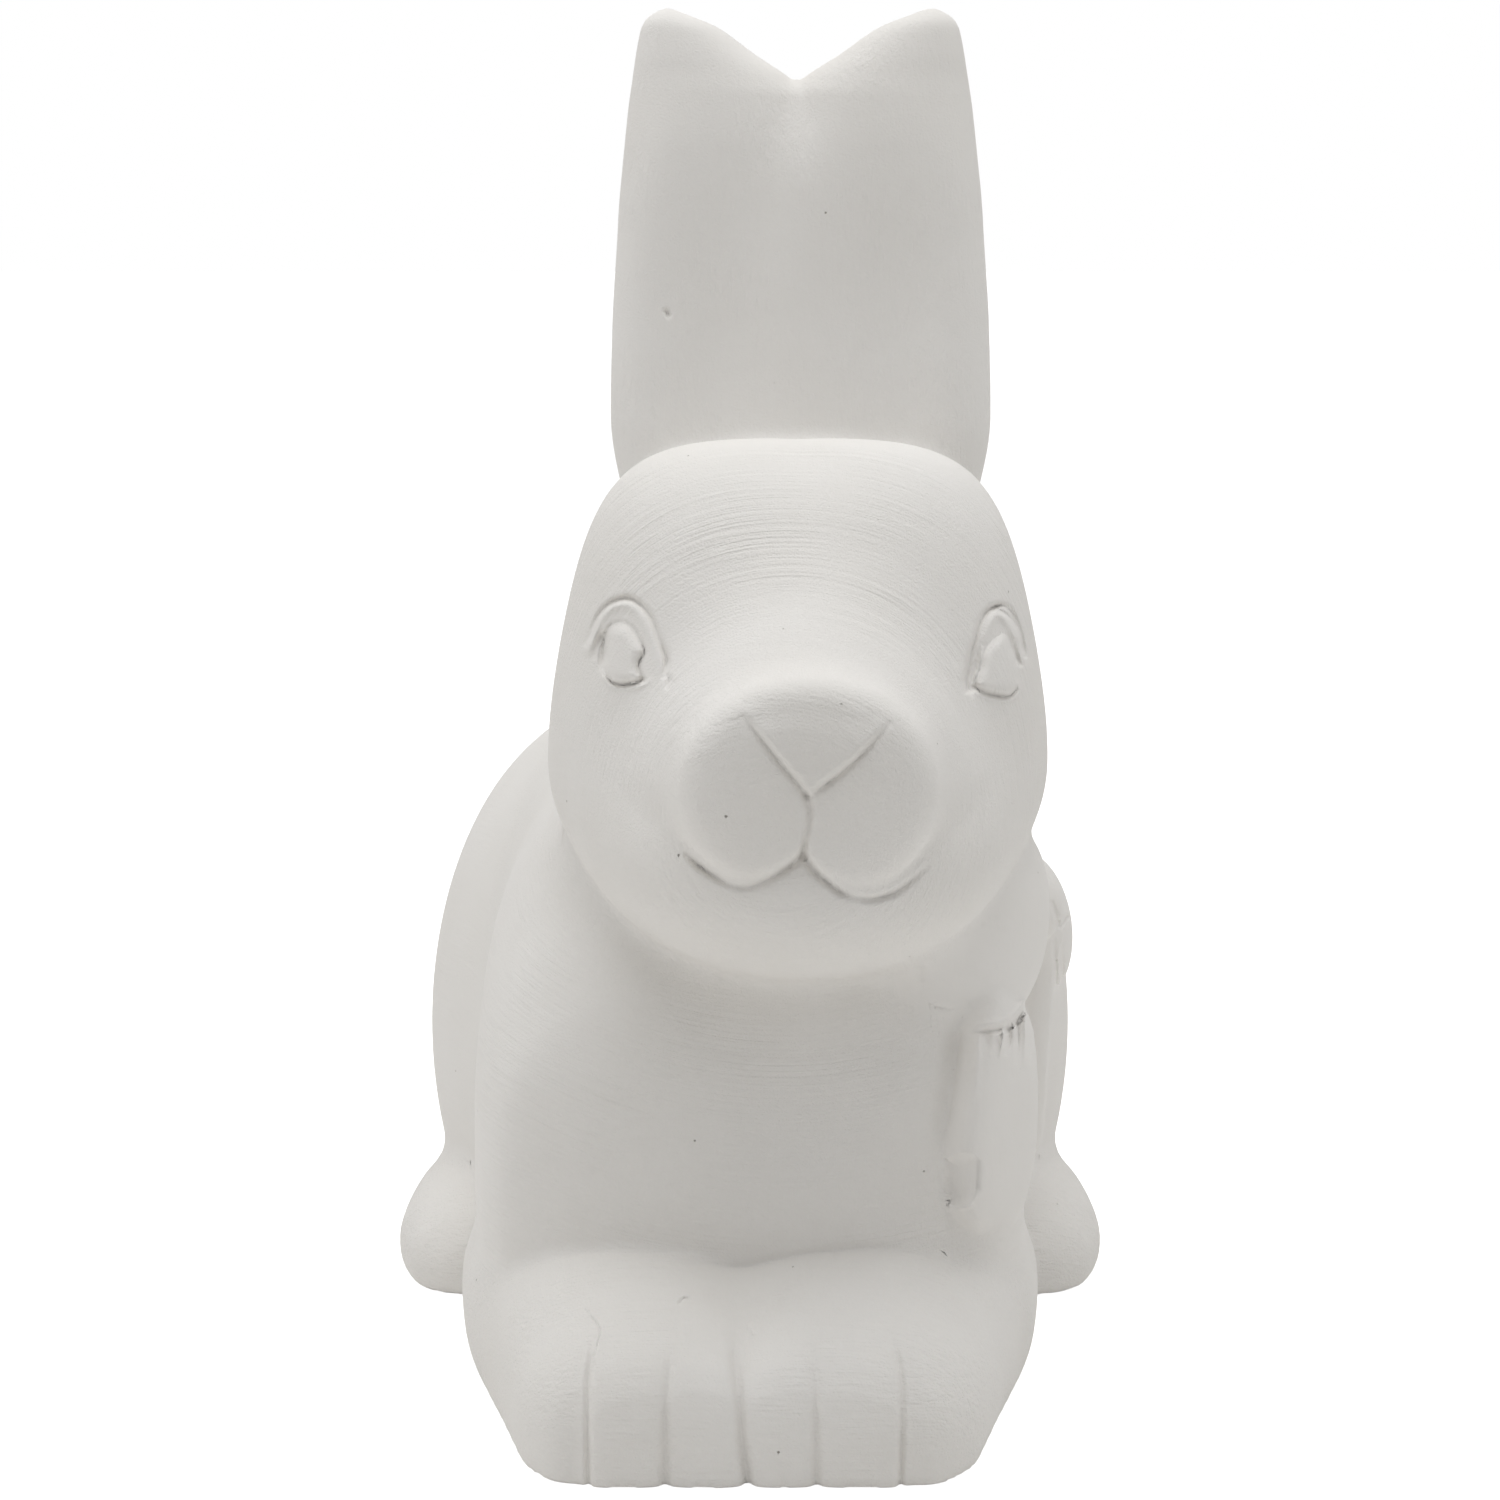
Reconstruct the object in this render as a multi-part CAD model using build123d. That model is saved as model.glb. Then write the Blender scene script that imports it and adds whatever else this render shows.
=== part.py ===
from build123d import *
from functools import cache
from math import cos, hypot, pi, radians, sin
import os

# A slip-cast rabbit in unglazed ceramic, lying with its forepaws out, its ears up and a bow on
# its left shoulder. The parts are cast or pressed one by one and luted face to face.
# Millimetres. +Z is up, the face looks along -Y and the rabbit's left is +X.
# The origin is the middle of the footprint, on the surface that the rabbit lies on.

# Whole figure
LENGTH = 190.0
WIDTH = 121.6
HEIGHT = 215.5
WALL = 5.0
OVERRUN = 2.0
SECTION_POINTS = 16

# Torso: place along it, half width, height of the back and squareness of each section
TOE_REACH = 30.0
TAIL_SHOWS = 10.0
CHEST_Y = TOE_REACH - LENGTH / 2
TORSO_LENGTH = LENGTH - TOE_REACH - TAIL_SHOWS
TORSO_HALF_WIDTH = 47.0
TORSO_HEIGHT = 106.0
TORSO_WAIST_Z = 34.0
TORSO_SHARES = [
    (0.000, 0.50, 0.46, 2.4),
    (0.014, 0.68, 0.56, 2.6),
    (0.050, 0.83, 0.645, 2.8),
    (0.110, 0.90, 0.73, 3.0),
    (0.190, 0.935, 0.81, 3.0),
    (0.300, 0.945, 0.88, 3.0),
    (0.430, 0.940, 0.93, 2.8),
    (0.580, 0.970, 0.975, 2.6),
    (0.720, 0.960, 1.000, 2.4),
    (0.850, 0.850, 0.910, 2.25),
    (0.935, 0.640, 0.765, 2.2),
    (0.980, 0.430, 0.625, 2.2),
    (1.000, 0.290, 0.530, 2.2),
]
DRAIN_HOLE_RADIUS = 10.0
DRAIN_HOLE_Y = CHEST_Y + TORSO_LENGTH / 2 + 2

# Head: an egg with the cheeks low, a ball of a muzzle and a passage down into the torso
HEAD_X = 7.5
HEAD_Y = CHEST_Y + 31.0
HEAD_RADIUS = 39.3
HEAD_CHEEK_Z = TORSO_HEIGHT - 8.0
HEAD_ABOVE_CHEEKS = 52.5
HEAD_BELOW_CHEEKS = 31.0
HEAD_UPPER_ROUND_SHARE = 2.3
HEAD_LOWER_ROUND_SHARE = 0.92
HEAD_HOLE_RADIUS = 13.0
MUZZLE_RADIUS = 20.0
MUZZLE_X_OFFSET = 0.8
MUZZLE_REACH = 56.5
MUZZLE_Z = HEAD_CHEEK_Z
BRIDGE_RISE = 14.0
BRIDGE_BACK = 12.0
BRIDGE_HALF_SIZES = (15.0, 20.0, 15.0)

# Face lines on the ball of the muzzle: sideways and upward turns where each starts and ends
FACE_LINE_RADIUS = 0.8
FACE_LINES = [
    ((-26.0, 38.0), (-1.0, 10.0)),
    ((34.0, 38.0), (-1.0, 10.0)),
    ((-1.0, 10.0), (-2.0, -19.0)),
    ((-2.0, -19.0), (-18.0, -27.0)),
    ((-18.0, -27.0), (-40.0, -17.0)),
    ((-2.0, -19.0), (13.0, -31.0)),
    ((13.0, -31.0), (38.0, -23.0)),
]

# Eyes: a bead in a groove on each side of the face
EYE_Z = HEAD_CHEEK_Z + 20.0
EYE_SPREAD = 28.0
EYE_DEPTH_SHARE = 0.957
EYE_TILT = 9.5
EYE_HALF_WIDTH = 3.6
EYE_HALF_HEIGHT = 5.2
EYE_HALF_THICKNESS = 2.6
EYE_SINK = 2.0
EYE_GROOVE_WIDTH = 1.2
EYE_GROOVE_DEPTH = 2.2
EYE_GROOVE_SINK = 0.4
EYELID_RADIUS = 6.6
EYELID_LINE_RADIUS = 0.8
EYELID_SINK = 0.35
EYELID_START = -12.0
EYELID_SWEEP = 204.0

# Ears: height, outer edge, inner edge from the parting line, half depth and lean of each section
EAR_ROOT_Z = 112.0
EAR_SPREAD_RIGHT = 30.0
EAR_SPREAD_LEFT = 31.4
EAR_HALF_DEPTH = 12.5
EAR_ROOT_Y = -10.0
EAR_LEAN = 9.0
EAR_SHARES = [
    (0.000, 0.50, -0.16, 0.70, -0.90),
    (0.110, 0.74, -0.17, 0.86, -0.42),
    (0.220, 0.91, -0.18, 0.97, -0.10),
    (0.370, 1.00, -0.18, 1.00, 0.10),
    (0.510, 0.99, -0.18, 0.96, 0.28),
    (0.660, 0.96, -0.18, 0.88, 0.48),
    (0.780, 0.925, -0.13, 0.78, 0.66),
    (0.860, 0.895, 0.00, 0.67, 0.80),
    (0.920, 0.865, 0.27, 0.54, 0.90),
    (0.965, 0.835, 0.43, 0.42, 0.96),
    (0.990, 0.800, 0.56, 0.30, 1.00),
    (1.000, 0.750, 0.64, 0.17, 1.00),
]
EAR_SCOOP_HALF_WIDTH = 12.0
EAR_SCOOP_HALF_DEPTH = 9.0
EAR_SCOOP_HALF_HEIGHT = 36.0
EAR_SCOOP_DEPTH = 2.0
EAR_SCOOP_Z = 176.0
EAR_SCOOP_OFFSET = 14.5

# Forelegs: place from the toes back, outer edge and height of each section
FORELEG_SPREAD = 46.2
FORELEG_LENGTH = 82.0
FORELEG_HEIGHT = 29.0
FORELEG_SEAM_X = -1.2
FORELEG_MERGE = 7.0
FORELEG_SQUARENESS = 2.5
FORELEG_SHARES = [
    (0.000, 0.44, 0.30),
    (0.012, 0.50, 0.40),
    (0.045, 0.60, 0.51),
    (0.110, 0.715, 0.60),
    (0.200, 0.80, 0.69),
    (0.320, 0.885, 0.80),
    (0.460, 0.94, 0.90),
    (0.640, 0.98, 0.98),
    (0.800, 0.985, 1.00),
    (0.920, 0.920, 0.88),
    (1.000, 0.800, 0.66),
]
TOE_WIDTH = 11.2
TOE_GROOVE_WIDTH = 1.5
TOE_GROOVE_DEPTH = 8.0
TOE_GROOVE_RISE = 15.0

# Haunches and hind feet
LIMB_AXIS_SHARE = 0.35
HAUNCH_X = 24.0
HAUNCH_Y = LENGTH / 2 - 53.0
HAUNCH_Z = 38.0
HAUNCH_HALF_WIDTH = 33.4
HAUNCH_HALF_LENGTH = 41.0
HAUNCH_HALF_HEIGHT = 56.0
HAUNCH_TILT = -14.0
FOOT_HALF_WIDTH = 16.8
FOOT_FRONT_Y = HAUNCH_Y - 47.0
FOOT_LENGTH = 66.0
FOOT_HEIGHT = 19.0
FOOT_SQUARENESS = 2.3
FOOT_SHARES = [
    (0.00, 0.46, 0.34, 0.93),
    (0.03, 0.68, 0.50, 0.96),
    (0.10, 0.88, 0.70, 0.99),
    (0.24, 1.00, 0.88, 1.00),
    (0.45, 0.98, 1.00, 0.98),
    (0.65, 0.86, 0.98, 0.92),
    (0.84, 0.66, 0.84, 0.80),
    (1.00, 0.44, 0.62, 0.66),
]
HIND_TOE_WIDTH = 9.5
HIND_TOE_GROOVE_DEPTH = 4.0
HIND_TOE_GROOVE_RISE = 9.0

# Tail
TAIL_RADIUS = 15.0
TAIL_Z = 34.0

# Neck ribbon and bow on the left shoulder
RIBBON_TILT = 25.0
RIBBON_ROLL = 6.0
RIBBON_X = 8.0
RIBBON_Y = HEAD_Y + 8.0
RIBBON_Z = HEAD_CHEEK_Z - 15.0
RIBBON_RADIUS = 32.5
RIBBON_THICKNESS = 5.5
RIBBON_FRONT_Y = HEAD_Y + 4.0
BOW_Y = CHEST_Y + 45.0
BOW_Z = TORSO_HEIGHT - 35.0
KNOT_X = 44.5
KNOT_RADIUS = 6.5

# Loops and tails: x, y and z from the knot, half width across the ribbon and half thickness
FRONT_LOOP_OUTWARD = (0.78, -0.62, 0.0)
FRONT_LOOP = [
    (-1.5, -1.0, 0.0, 6.0, 4.5),
    (-2.0, -9.0, 2.0, 11.5, 6.5),
    (-4.0, -20.0, 2.5, 15.5, 7.5),
    (-9.0, -29.5, 1.5, 16.5, 8.0),
    (-16.5, -34.0, 0.0, 14.0, 6.5),
    (-22.0, -35.3, -1.0, 9.0, 4.0),
]
REAR_LOOP_OUTWARD = (1.0, 0.1, 0.15)
REAR_LOOP = [
    (-1.0, 1.0, 0.0, 6.0, 4.5),
    (1.0, 8.0, -2.0, 10.0, 6.5),
    (2.3, 19.0, -7.0, 12.5, 7.0),
    (1.0, 30.0, -11.0, 12.0, 6.5),
    (-1.5, 36.0, -13.5, 8.5, 4.8),
]
FRONT_TAIL_OUTWARD = (0.82, -0.57, 0.0)
FRONT_TAIL = [
    (-6.0, -32.0, -4.0, 6.5, 4.2),
    (-6.5, -35.5, -42.0, 10.0, 4.0),
]
REAR_TAIL_OUTWARD = (1.0, 0.0, 0.0)
REAR_TAIL = [
    (1.0, 9.0, -3.0, 6.5, 4.6),
    (1.0, 21.0, -43.0, 11.0, 4.2),
]
TAIL_EDGE_SHARE = 0.45
PLEATS = 3
PLEAT_DEPTH = 1.1

RIGHT = -1
LEFT = 1
CONE_FOOT = (Align.CENTER, Align.CENTER, Align.MIN)


def superellipse(half_width, half_height, squareness):
    """A closed rounded outline about the origin, squarer as the exponent grows."""
    points = []
    for i in range(SECTION_POINTS):
        a = 2 * pi * i / SECTION_POINTS
        x = abs(cos(a)) ** (2 / squareness) * half_width * (1 if cos(a) >= 0 else -1)
        y = abs(sin(a)) ** (2 / squareness) * half_height * (1 if sin(a) >= 0 else -1)
        points.append((x, y))
    return make_face(Spline(*points, periodic=True))


def upright_plane(x, y, z):
    """A plane across the figure, seen from the front."""
    return Plane(origin=(x, y, z), x_dir=(1, 0, 0), z_dir=(0, -1, 0))


def ellipsoid(centre, half_sizes):
    return Pos(*centre) * scale(Sphere(1), by=half_sizes)


def block(low, high):
    size = [h - l for l, h in zip(low, high)]
    return Pos(*low) * Box(*size, align=(Align.MIN, Align.MIN, Align.MIN))


def above(level):
    """The space above a level, wide enough to hold any part."""
    reach = LENGTH + WIDTH + HEIGHT
    return block((-reach, -reach, level), (reach, reach, reach))


def beside(plane_x, side):
    """The space on one side of an upright plane along the figure."""
    reach = LENGTH + WIDTH + HEIGHT
    low, high = (plane_x, reach) if side == LEFT else (-reach, plane_x)
    return block((low, -reach, -reach), (high, reach, reach))


# Torso

@cache
def torso_solid(inset=0.0):
    """The loaf of the body, lofted from chest to rump and flat below."""
    sections = []
    length = TORSO_LENGTH - 2 * inset
    for along, width, height, squareness in TORSO_SHARES:
        half_width = TORSO_HALF_WIDTH * width - inset
        half_height = TORSO_HEIGHT * height - TORSO_WAIST_Z - inset
        plane = upright_plane(0, CHEST_Y + inset + length * along, TORSO_WAIST_Z)
        sections.append(plane * superellipse(half_width, half_height, squareness))
    return loft(sections) & above(inset)


def drain_hole():
    return Pos(0, DRAIN_HOLE_Y, 0) * Cylinder(DRAIN_HOLE_RADIUS, 2 * (WALL + OVERRUN))


def body_shell():
    return torso_solid() - torso_solid(WALL) - head_form() - drain_hole()


# Head

def quarter_outline(radius, height, round_share):
    """From the widest point to the pole, as a side arc and a cap arc that meet smoothly."""
    side = height * round_share
    cap = ((radius - side) ** 2 + height ** 2 - side ** 2) / (2 * (height - side))
    across, up = radius - side, cap - height
    reach = hypot(across, up)
    turn = 1 if cap > side else -1
    meet = (cap * across * turn / reach, cap * up * turn / reach - up)
    return meet, side, cap


def egg(radius, rise, drop):
    """The skull and cheeks, turned about an upright axis through the widest level."""
    (top_r, top_z), top_side, top_cap = quarter_outline(radius, rise, HEAD_UPPER_ROUND_SHARE)
    (low_r, low_z), low_side, low_cap = quarter_outline(radius, drop, HEAD_LOWER_ROUND_SHARE)
    outline = [
        RadiusArc((0, rise), (top_r, top_z), top_cap),
        RadiusArc((top_r, top_z), (radius, 0), top_side),
        RadiusArc((radius, 0), (low_r, -low_z), low_side),
        RadiusArc((low_r, -low_z), (0, -drop), low_cap),
        Line((0, -drop), (0, rise)),
    ]
    return revolve(Plane.XZ * make_face(outline), axis=Axis.Z)


def muzzle_centre():
    return (HEAD_X + MUZZLE_X_OFFSET, HEAD_Y - MUZZLE_REACH + MUZZLE_RADIUS, MUZZLE_Z)


@cache
def head_form():
    skull = Pos(HEAD_X, HEAD_Y, HEAD_CHEEK_Z) * egg(HEAD_RADIUS, HEAD_ABOVE_CHEEKS, HEAD_BELOW_CHEEKS)
    x, y, z = muzzle_centre()
    bridge = ellipsoid((x, y + BRIDGE_BACK, z + BRIDGE_RISE), BRIDGE_HALF_SIZES)
    return skull + Pos(x, y, z) * Sphere(MUZZLE_RADIUS) + bridge


def facing(sideways, upward):
    """A direction out of the face, turned sideways and upward from straight ahead."""
    a, b = radians(sideways), radians(upward)
    return Vector(sin(a) * cos(b), -cos(a) * cos(b), sin(b))


def face_line(start, end):
    """A round groove that runs over the ball of the muzzle from one direction to another."""
    first, last = facing(*start), facing(*end)
    plane = Plane(origin=muzzle_centre(), x_dir=first, z_dir=first.cross(last))
    groove = Torus(MUZZLE_RADIUS, FACE_LINE_RADIUS, major_angle=first.get_angle(last), align=None)
    tips = [Pos(*muzzle_centre()) * Pos(*(tip * MUZZLE_RADIUS)) * Sphere(FACE_LINE_RADIUS) for tip in (first, last)]
    return [plane * groove, *tips]


def eye_centre(side):
    depth = ((HEAD_RADIUS * EYE_DEPTH_SHARE) ** 2 - EYE_SPREAD ** 2) ** 0.5
    return (HEAD_X + side * EYE_SPREAD, HEAD_Y - depth, EYE_Z)


def eye_plane(side, sink):
    """A plane across the line of sight of an eye."""
    x, y, z = eye_centre(side)
    level = Vector(x - HEAD_X, y - HEAD_Y, 0).normalized()
    outward = level * cos(radians(EYE_TILT)) + Vector(0, 0, sin(radians(EYE_TILT)))
    return Plane(origin=Vector(x, y, z) - outward * sink, x_dir=(-level.Y, level.X, 0), z_dir=outward)


def eye_disc(side, margin, half_thickness, sink):
    """A flat bead that faces out of the head where the eye is."""
    half_sizes = (EYE_HALF_WIDTH + margin, EYE_HALF_HEIGHT + margin, half_thickness)
    return eye_plane(side, sink) * scale(Sphere(1), by=half_sizes)


def eyelid_line(side):
    """The arched groove round the top of an eyelid."""
    arch = Torus(EYELID_RADIUS, EYELID_LINE_RADIUS, major_angle=EYELID_SWEEP, align=None)
    return eye_plane(side, EYELID_SINK) * Rot(0, 0, EYELID_START) * arch


def head_shell():
    hollow = egg(HEAD_RADIUS - WALL, HEAD_ABOVE_CHEEKS - WALL, HEAD_BELOW_CHEEKS - WALL)
    hollow = Pos(HEAD_X, HEAD_Y, HEAD_CHEEK_Z) * hollow
    passage = Cylinder(HEAD_HOLE_RADIUS, HEAD_BELOW_CHEEKS, align=(Align.CENTER, Align.CENTER, Align.MIN))
    passage = Pos(HEAD_X, HEAD_Y, HEAD_CHEEK_Z - HEAD_BELOW_CHEEKS - WALL) * passage
    head = head_form() - hollow - passage
    for side in (RIGHT, LEFT):
        head -= eye_disc(side, EYE_GROOVE_WIDTH, EYE_GROOVE_DEPTH, EYE_GROOVE_SINK)
        head += eye_disc(side, 0, EYE_HALF_THICKNESS, EYE_SINK)
        head -= eyelid_line(side)
    for start, end in FACE_LINES:
        for piece in face_line(start, end):
            head -= piece
    return head


# Ears

@cache
def ear_form(side):
    """One ear, which runs on past the parting line where the two meet."""
    spread = EAR_SPREAD_LEFT if side == LEFT else EAR_SPREAD_RIGHT
    sections = []
    for up, outer, inner, depth, lean in EAR_SHARES:
        centre_x = HEAD_X + side * spread * (outer + inner) / 2
        centre_y = EAR_ROOT_Y + EAR_LEAN * lean
        centre_z = EAR_ROOT_Z + (HEIGHT - EAR_ROOT_Z) * up
        oval = Ellipse(spread * (outer - inner) / 2, EAR_HALF_DEPTH * depth)
        sections.append(Pos(centre_x, centre_y, centre_z) * oval)
    return loft(sections)


def ear_scoop(side):
    """The long hollow in the front of an ear."""
    front = EAR_ROOT_Y + EAR_LEAN / 2 - EAR_HALF_DEPTH
    centre = (HEAD_X + side * EAR_SCOOP_OFFSET, front + EAR_SCOOP_DEPTH - EAR_SCOOP_HALF_DEPTH, EAR_SCOOP_Z)
    return ellipsoid(centre, (EAR_SCOOP_HALF_WIDTH, EAR_SCOOP_HALF_DEPTH, EAR_SCOOP_HALF_HEIGHT))


def ear(side):
    return (ear_form(side) & beside(HEAD_X, side)) - head_form() - ear_scoop(side)


# Legs

def low_limb(rows, squareness):
    """A limb that lies on the ground, from rows of centre x, y, half width and height."""
    sections = []
    for x, y, half_width, height in rows:
        plane = upright_plane(x, y, height * LIMB_AXIS_SHARE)
        sections.append(plane * superellipse(half_width, height * (1 - LIMB_AXIS_SHARE), squareness))
    return loft(sections) & above(0)


def toe_groove(x, front_y, depth, rise):
    """A rounded slot between two toes, cut into the front of a paw."""
    slot = Cylinder(depth, TOE_GROOVE_WIDTH, rotation=(0, 90, 0))
    return Pos(x, front_y, 0) * scale(slot, by=(1, 1, rise / depth))


def foreleg(side):
    toes_y = -LENGTH / 2
    rows = []
    for along, outer, height in FORELEG_SHARES:
        inner_x = FORELEG_SEAM_X - side * FORELEG_MERGE
        outer_x = side * FORELEG_SPREAD * outer
        half_width = abs(outer_x - inner_x) / 2
        rows.append(((outer_x + inner_x) / 2, toes_y + FORELEG_LENGTH * along, half_width, FORELEG_HEIGHT * height))
    leg = (low_limb(rows, FORELEG_SQUARENESS) & beside(FORELEG_SEAM_X, side)) - torso_solid()
    for count in (1, 2):
        x = FORELEG_SEAM_X + side * TOE_WIDTH * count
        leg -= toe_groove(x, toes_y, TOE_GROOVE_DEPTH, TOE_GROOVE_RISE)
    return leg


@cache
def haunch_form(side):
    thigh = scale(Sphere(1), by=(HAUNCH_HALF_WIDTH, HAUNCH_HALF_LENGTH, HAUNCH_HALF_HEIGHT))
    return Pos(side * HAUNCH_X, HAUNCH_Y, HAUNCH_Z) * Rot(HAUNCH_TILT, 0, 0) * thigh & above(0)


def haunch(side):
    return haunch_form(side) - torso_solid()


def hind_foot(side):
    centre_x = side * (WIDTH / 2 - FOOT_HALF_WIDTH)
    rows = [
        (centre_x * offset, FOOT_FRONT_Y + FOOT_LENGTH * along, FOOT_HALF_WIDTH * width, FOOT_HEIGHT * height)
        for along, width, height, offset in FOOT_SHARES
    ]
    foot = low_limb(rows, FOOT_SQUARENESS) - torso_solid() - haunch_form(side)
    for step in (-0.5, 0.5):
        x = centre_x + side * HIND_TOE_WIDTH * step
        foot -= toe_groove(x, FOOT_FRONT_Y, HIND_TOE_GROOVE_DEPTH, HIND_TOE_GROOVE_RISE)
    return foot


def tail():
    ball = Pos(0, LENGTH / 2 - TAIL_RADIUS, TAIL_Z) * Sphere(TAIL_RADIUS)
    return ball - torso_solid() - haunch_form(RIGHT) - haunch_form(LEFT)


# Ribbon and bow

@cache
def ribbon_form():
    """A rolled band in the crease behind the neck, left off under the chin."""
    ring = Torus(RIBBON_RADIUS, RIBBON_THICKNESS)
    ring = Pos(RIBBON_X, RIBBON_Y, RIBBON_Z) * Rot(RIBBON_TILT, RIBBON_ROLL, 0) * ring
    reach = LENGTH + WIDTH
    return ring & block((-reach, RIBBON_FRONT_Y, 0), (reach, reach, HEIGHT))


def neck_ribbon():
    return ribbon_form() - torso_solid() - head_form() - knot_form()


@cache
def knot_form():
    return Pos(KNOT_X, BOW_Y, BOW_Z) * Sphere(KNOT_RADIUS, rotation=(0, 90, 0))


def bow_knot():
    return knot_form() - torso_solid() - head_form()


def ribbon_sections(rows, outward):
    """Planes across a bent ribbon at each of its stops, with their half width and half thickness."""
    places = [Vector(KNOT_X + x, BOW_Y + y, BOW_Z + z) for x, y, z, _, _ in rows]
    sections = []
    for i, (_, _, _, half_width, half_thickness) in enumerate(rows):
        before, after = places[max(i - 1, 0)], places[min(i + 1, len(rows) - 1)]
        along = (after - before).normalized()
        out = (Vector(*outward) - along * Vector(*outward).dot(along)).normalized()
        plane = Plane(origin=places[i], x_dir=out, z_dir=along)
        sections.append((plane, half_thickness, half_width))
    return sections


def loop_form(rows, outward):
    """A puffed, bent loop of ribbon, lofted from the knot to its far end."""
    return loft([plane * Ellipse(thick, wide) for plane, thick, wide in ribbon_sections(rows, outward)])


@cache
def front_loop_form():
    return loop_form(FRONT_LOOP, FRONT_LOOP_OUTWARD)


@cache
def rear_loop_form():
    return loop_form(REAR_LOOP, REAR_LOOP_OUTWARD)


def bow_front_loop():
    return front_loop_form() - torso_solid() - head_form() - knot_form() - ribbon_form()


def bow_rear_loop():
    return rear_loop_form() - torso_solid() - head_form() - knot_form() - ribbon_form() - haunch_form(LEFT)


def bow_tail_form(rows, outward):
    """A gathered end of ribbon that hangs from the knot, spreads as it falls and is pleated."""
    sections = ribbon_sections(rows, outward)
    outlines = []
    for plane, thick, wide in sections:
        outlines.append(plane * RectangleRounded(2 * thick, 2 * wide, 2 * thick * TAIL_EDGE_SHARE))
    form = loft(outlines)
    for count in range(PLEATS):
        share = 2 * (count + 1) / (PLEATS + 1) - 1
        high, low = (plane.origin + plane.x_dir * thick + plane.y_dir * wide * share for plane, thick, wide in sections)
        axis = (high - low).normalized()
        pleat = Plane(origin=low - axis * OVERRUN, z_dir=axis)
        length = (high - low).length + 2 * OVERRUN
        form -= pleat * Cone(PLEAT_DEPTH / 2, PLEAT_DEPTH, length, align=CONE_FOOT)
    return form


def bow_front_tail():
    form = bow_tail_form(FRONT_TAIL, FRONT_TAIL_OUTWARD)
    return form - torso_solid() - head_form() - front_loop_form() - knot_form() - ribbon_form()


def bow_rear_tail():
    form = bow_tail_form(REAR_TAIL, REAR_TAIL_OUTWARD)
    form = form - torso_solid() - head_form() - rear_loop_form() - knot_form() - ribbon_form()
    return form - haunch_form(LEFT)


PARTS = {
    "body_shell": body_shell,
    "head_shell": head_shell,
    "right_ear": lambda: ear(RIGHT),
    "left_ear": lambda: ear(LEFT),
    "right_foreleg": lambda: foreleg(RIGHT),
    "left_foreleg": lambda: foreleg(LEFT),
    "right_haunch": lambda: haunch(RIGHT),
    "left_haunch": lambda: haunch(LEFT),
    "right_hind_foot": lambda: hind_foot(RIGHT),
    "left_hind_foot": lambda: hind_foot(LEFT),
    "tail": tail,
    "neck_ribbon": neck_ribbon,
    "bow_knot": bow_knot,
    "bow_front_loop": bow_front_loop,
    "bow_rear_loop": bow_rear_loop,
    "bow_front_tail": bow_front_tail,
    "bow_rear_tail": bow_rear_tail,
}

os.makedirs("parts", exist_ok=True)
for name, make in PARTS.items():
    solid = make()
    export_step(solid, f"parts/{name}.step")
    print(name, len(solid.solids()), round(solid.volume), solid.is_valid)
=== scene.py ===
from math import radians

import bpy
import numpy as np
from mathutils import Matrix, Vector


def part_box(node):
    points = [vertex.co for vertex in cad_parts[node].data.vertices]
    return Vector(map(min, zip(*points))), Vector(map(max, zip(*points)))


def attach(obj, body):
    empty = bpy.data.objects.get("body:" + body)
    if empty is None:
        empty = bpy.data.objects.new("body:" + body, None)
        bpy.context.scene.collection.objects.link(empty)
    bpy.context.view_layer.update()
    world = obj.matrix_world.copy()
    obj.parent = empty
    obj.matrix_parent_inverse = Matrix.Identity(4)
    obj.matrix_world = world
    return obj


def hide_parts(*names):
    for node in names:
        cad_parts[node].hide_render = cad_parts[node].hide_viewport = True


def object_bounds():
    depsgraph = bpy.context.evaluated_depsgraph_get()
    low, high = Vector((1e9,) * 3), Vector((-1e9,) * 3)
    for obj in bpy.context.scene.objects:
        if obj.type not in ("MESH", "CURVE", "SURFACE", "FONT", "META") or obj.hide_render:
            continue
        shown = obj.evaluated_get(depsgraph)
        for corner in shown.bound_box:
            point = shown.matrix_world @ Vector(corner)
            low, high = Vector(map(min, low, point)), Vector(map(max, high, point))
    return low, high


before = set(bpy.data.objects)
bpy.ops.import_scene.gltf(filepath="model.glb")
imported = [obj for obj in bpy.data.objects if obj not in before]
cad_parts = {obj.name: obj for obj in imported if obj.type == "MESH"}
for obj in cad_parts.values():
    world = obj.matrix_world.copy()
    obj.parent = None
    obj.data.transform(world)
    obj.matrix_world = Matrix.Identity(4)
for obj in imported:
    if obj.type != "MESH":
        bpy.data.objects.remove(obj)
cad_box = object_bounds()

# A slip-cast rabbit in unglazed white ceramic. Its skin is one smooth surface, worked out as a
# distance field in millimetres and then parted along the seams where the clay pieces were luted.
# +Z is up, the face looks along -Y and the rabbit's left is +X.

MM = 0.001
FAR = 1e3
TINY = 1e-6

# Fineness of the skin
GRAIN = 1.2
FINE_GRAIN = 0.3
LONG_EDGE = 1.35 * FINE_GRAIN
COARSE_EDGE = 0.6 * GRAIN
DETAIL_SPREADS = (0.4, 0.1)
LEAST_DETAIL = 0.04
LEAST_SLOPE = 0.05
REFINE_ROUNDS = 3
REFINE_SETTLES = 2
PROJECT_ROUNDS = 3
PROBE = 0.06
STEEPEST = 1.5


def node_box(name):
    """A part's lowest and highest corner in the frame, in millimetres."""
    low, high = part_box(name)
    return np.array(low) / MM, np.array(high) / MM


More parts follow.
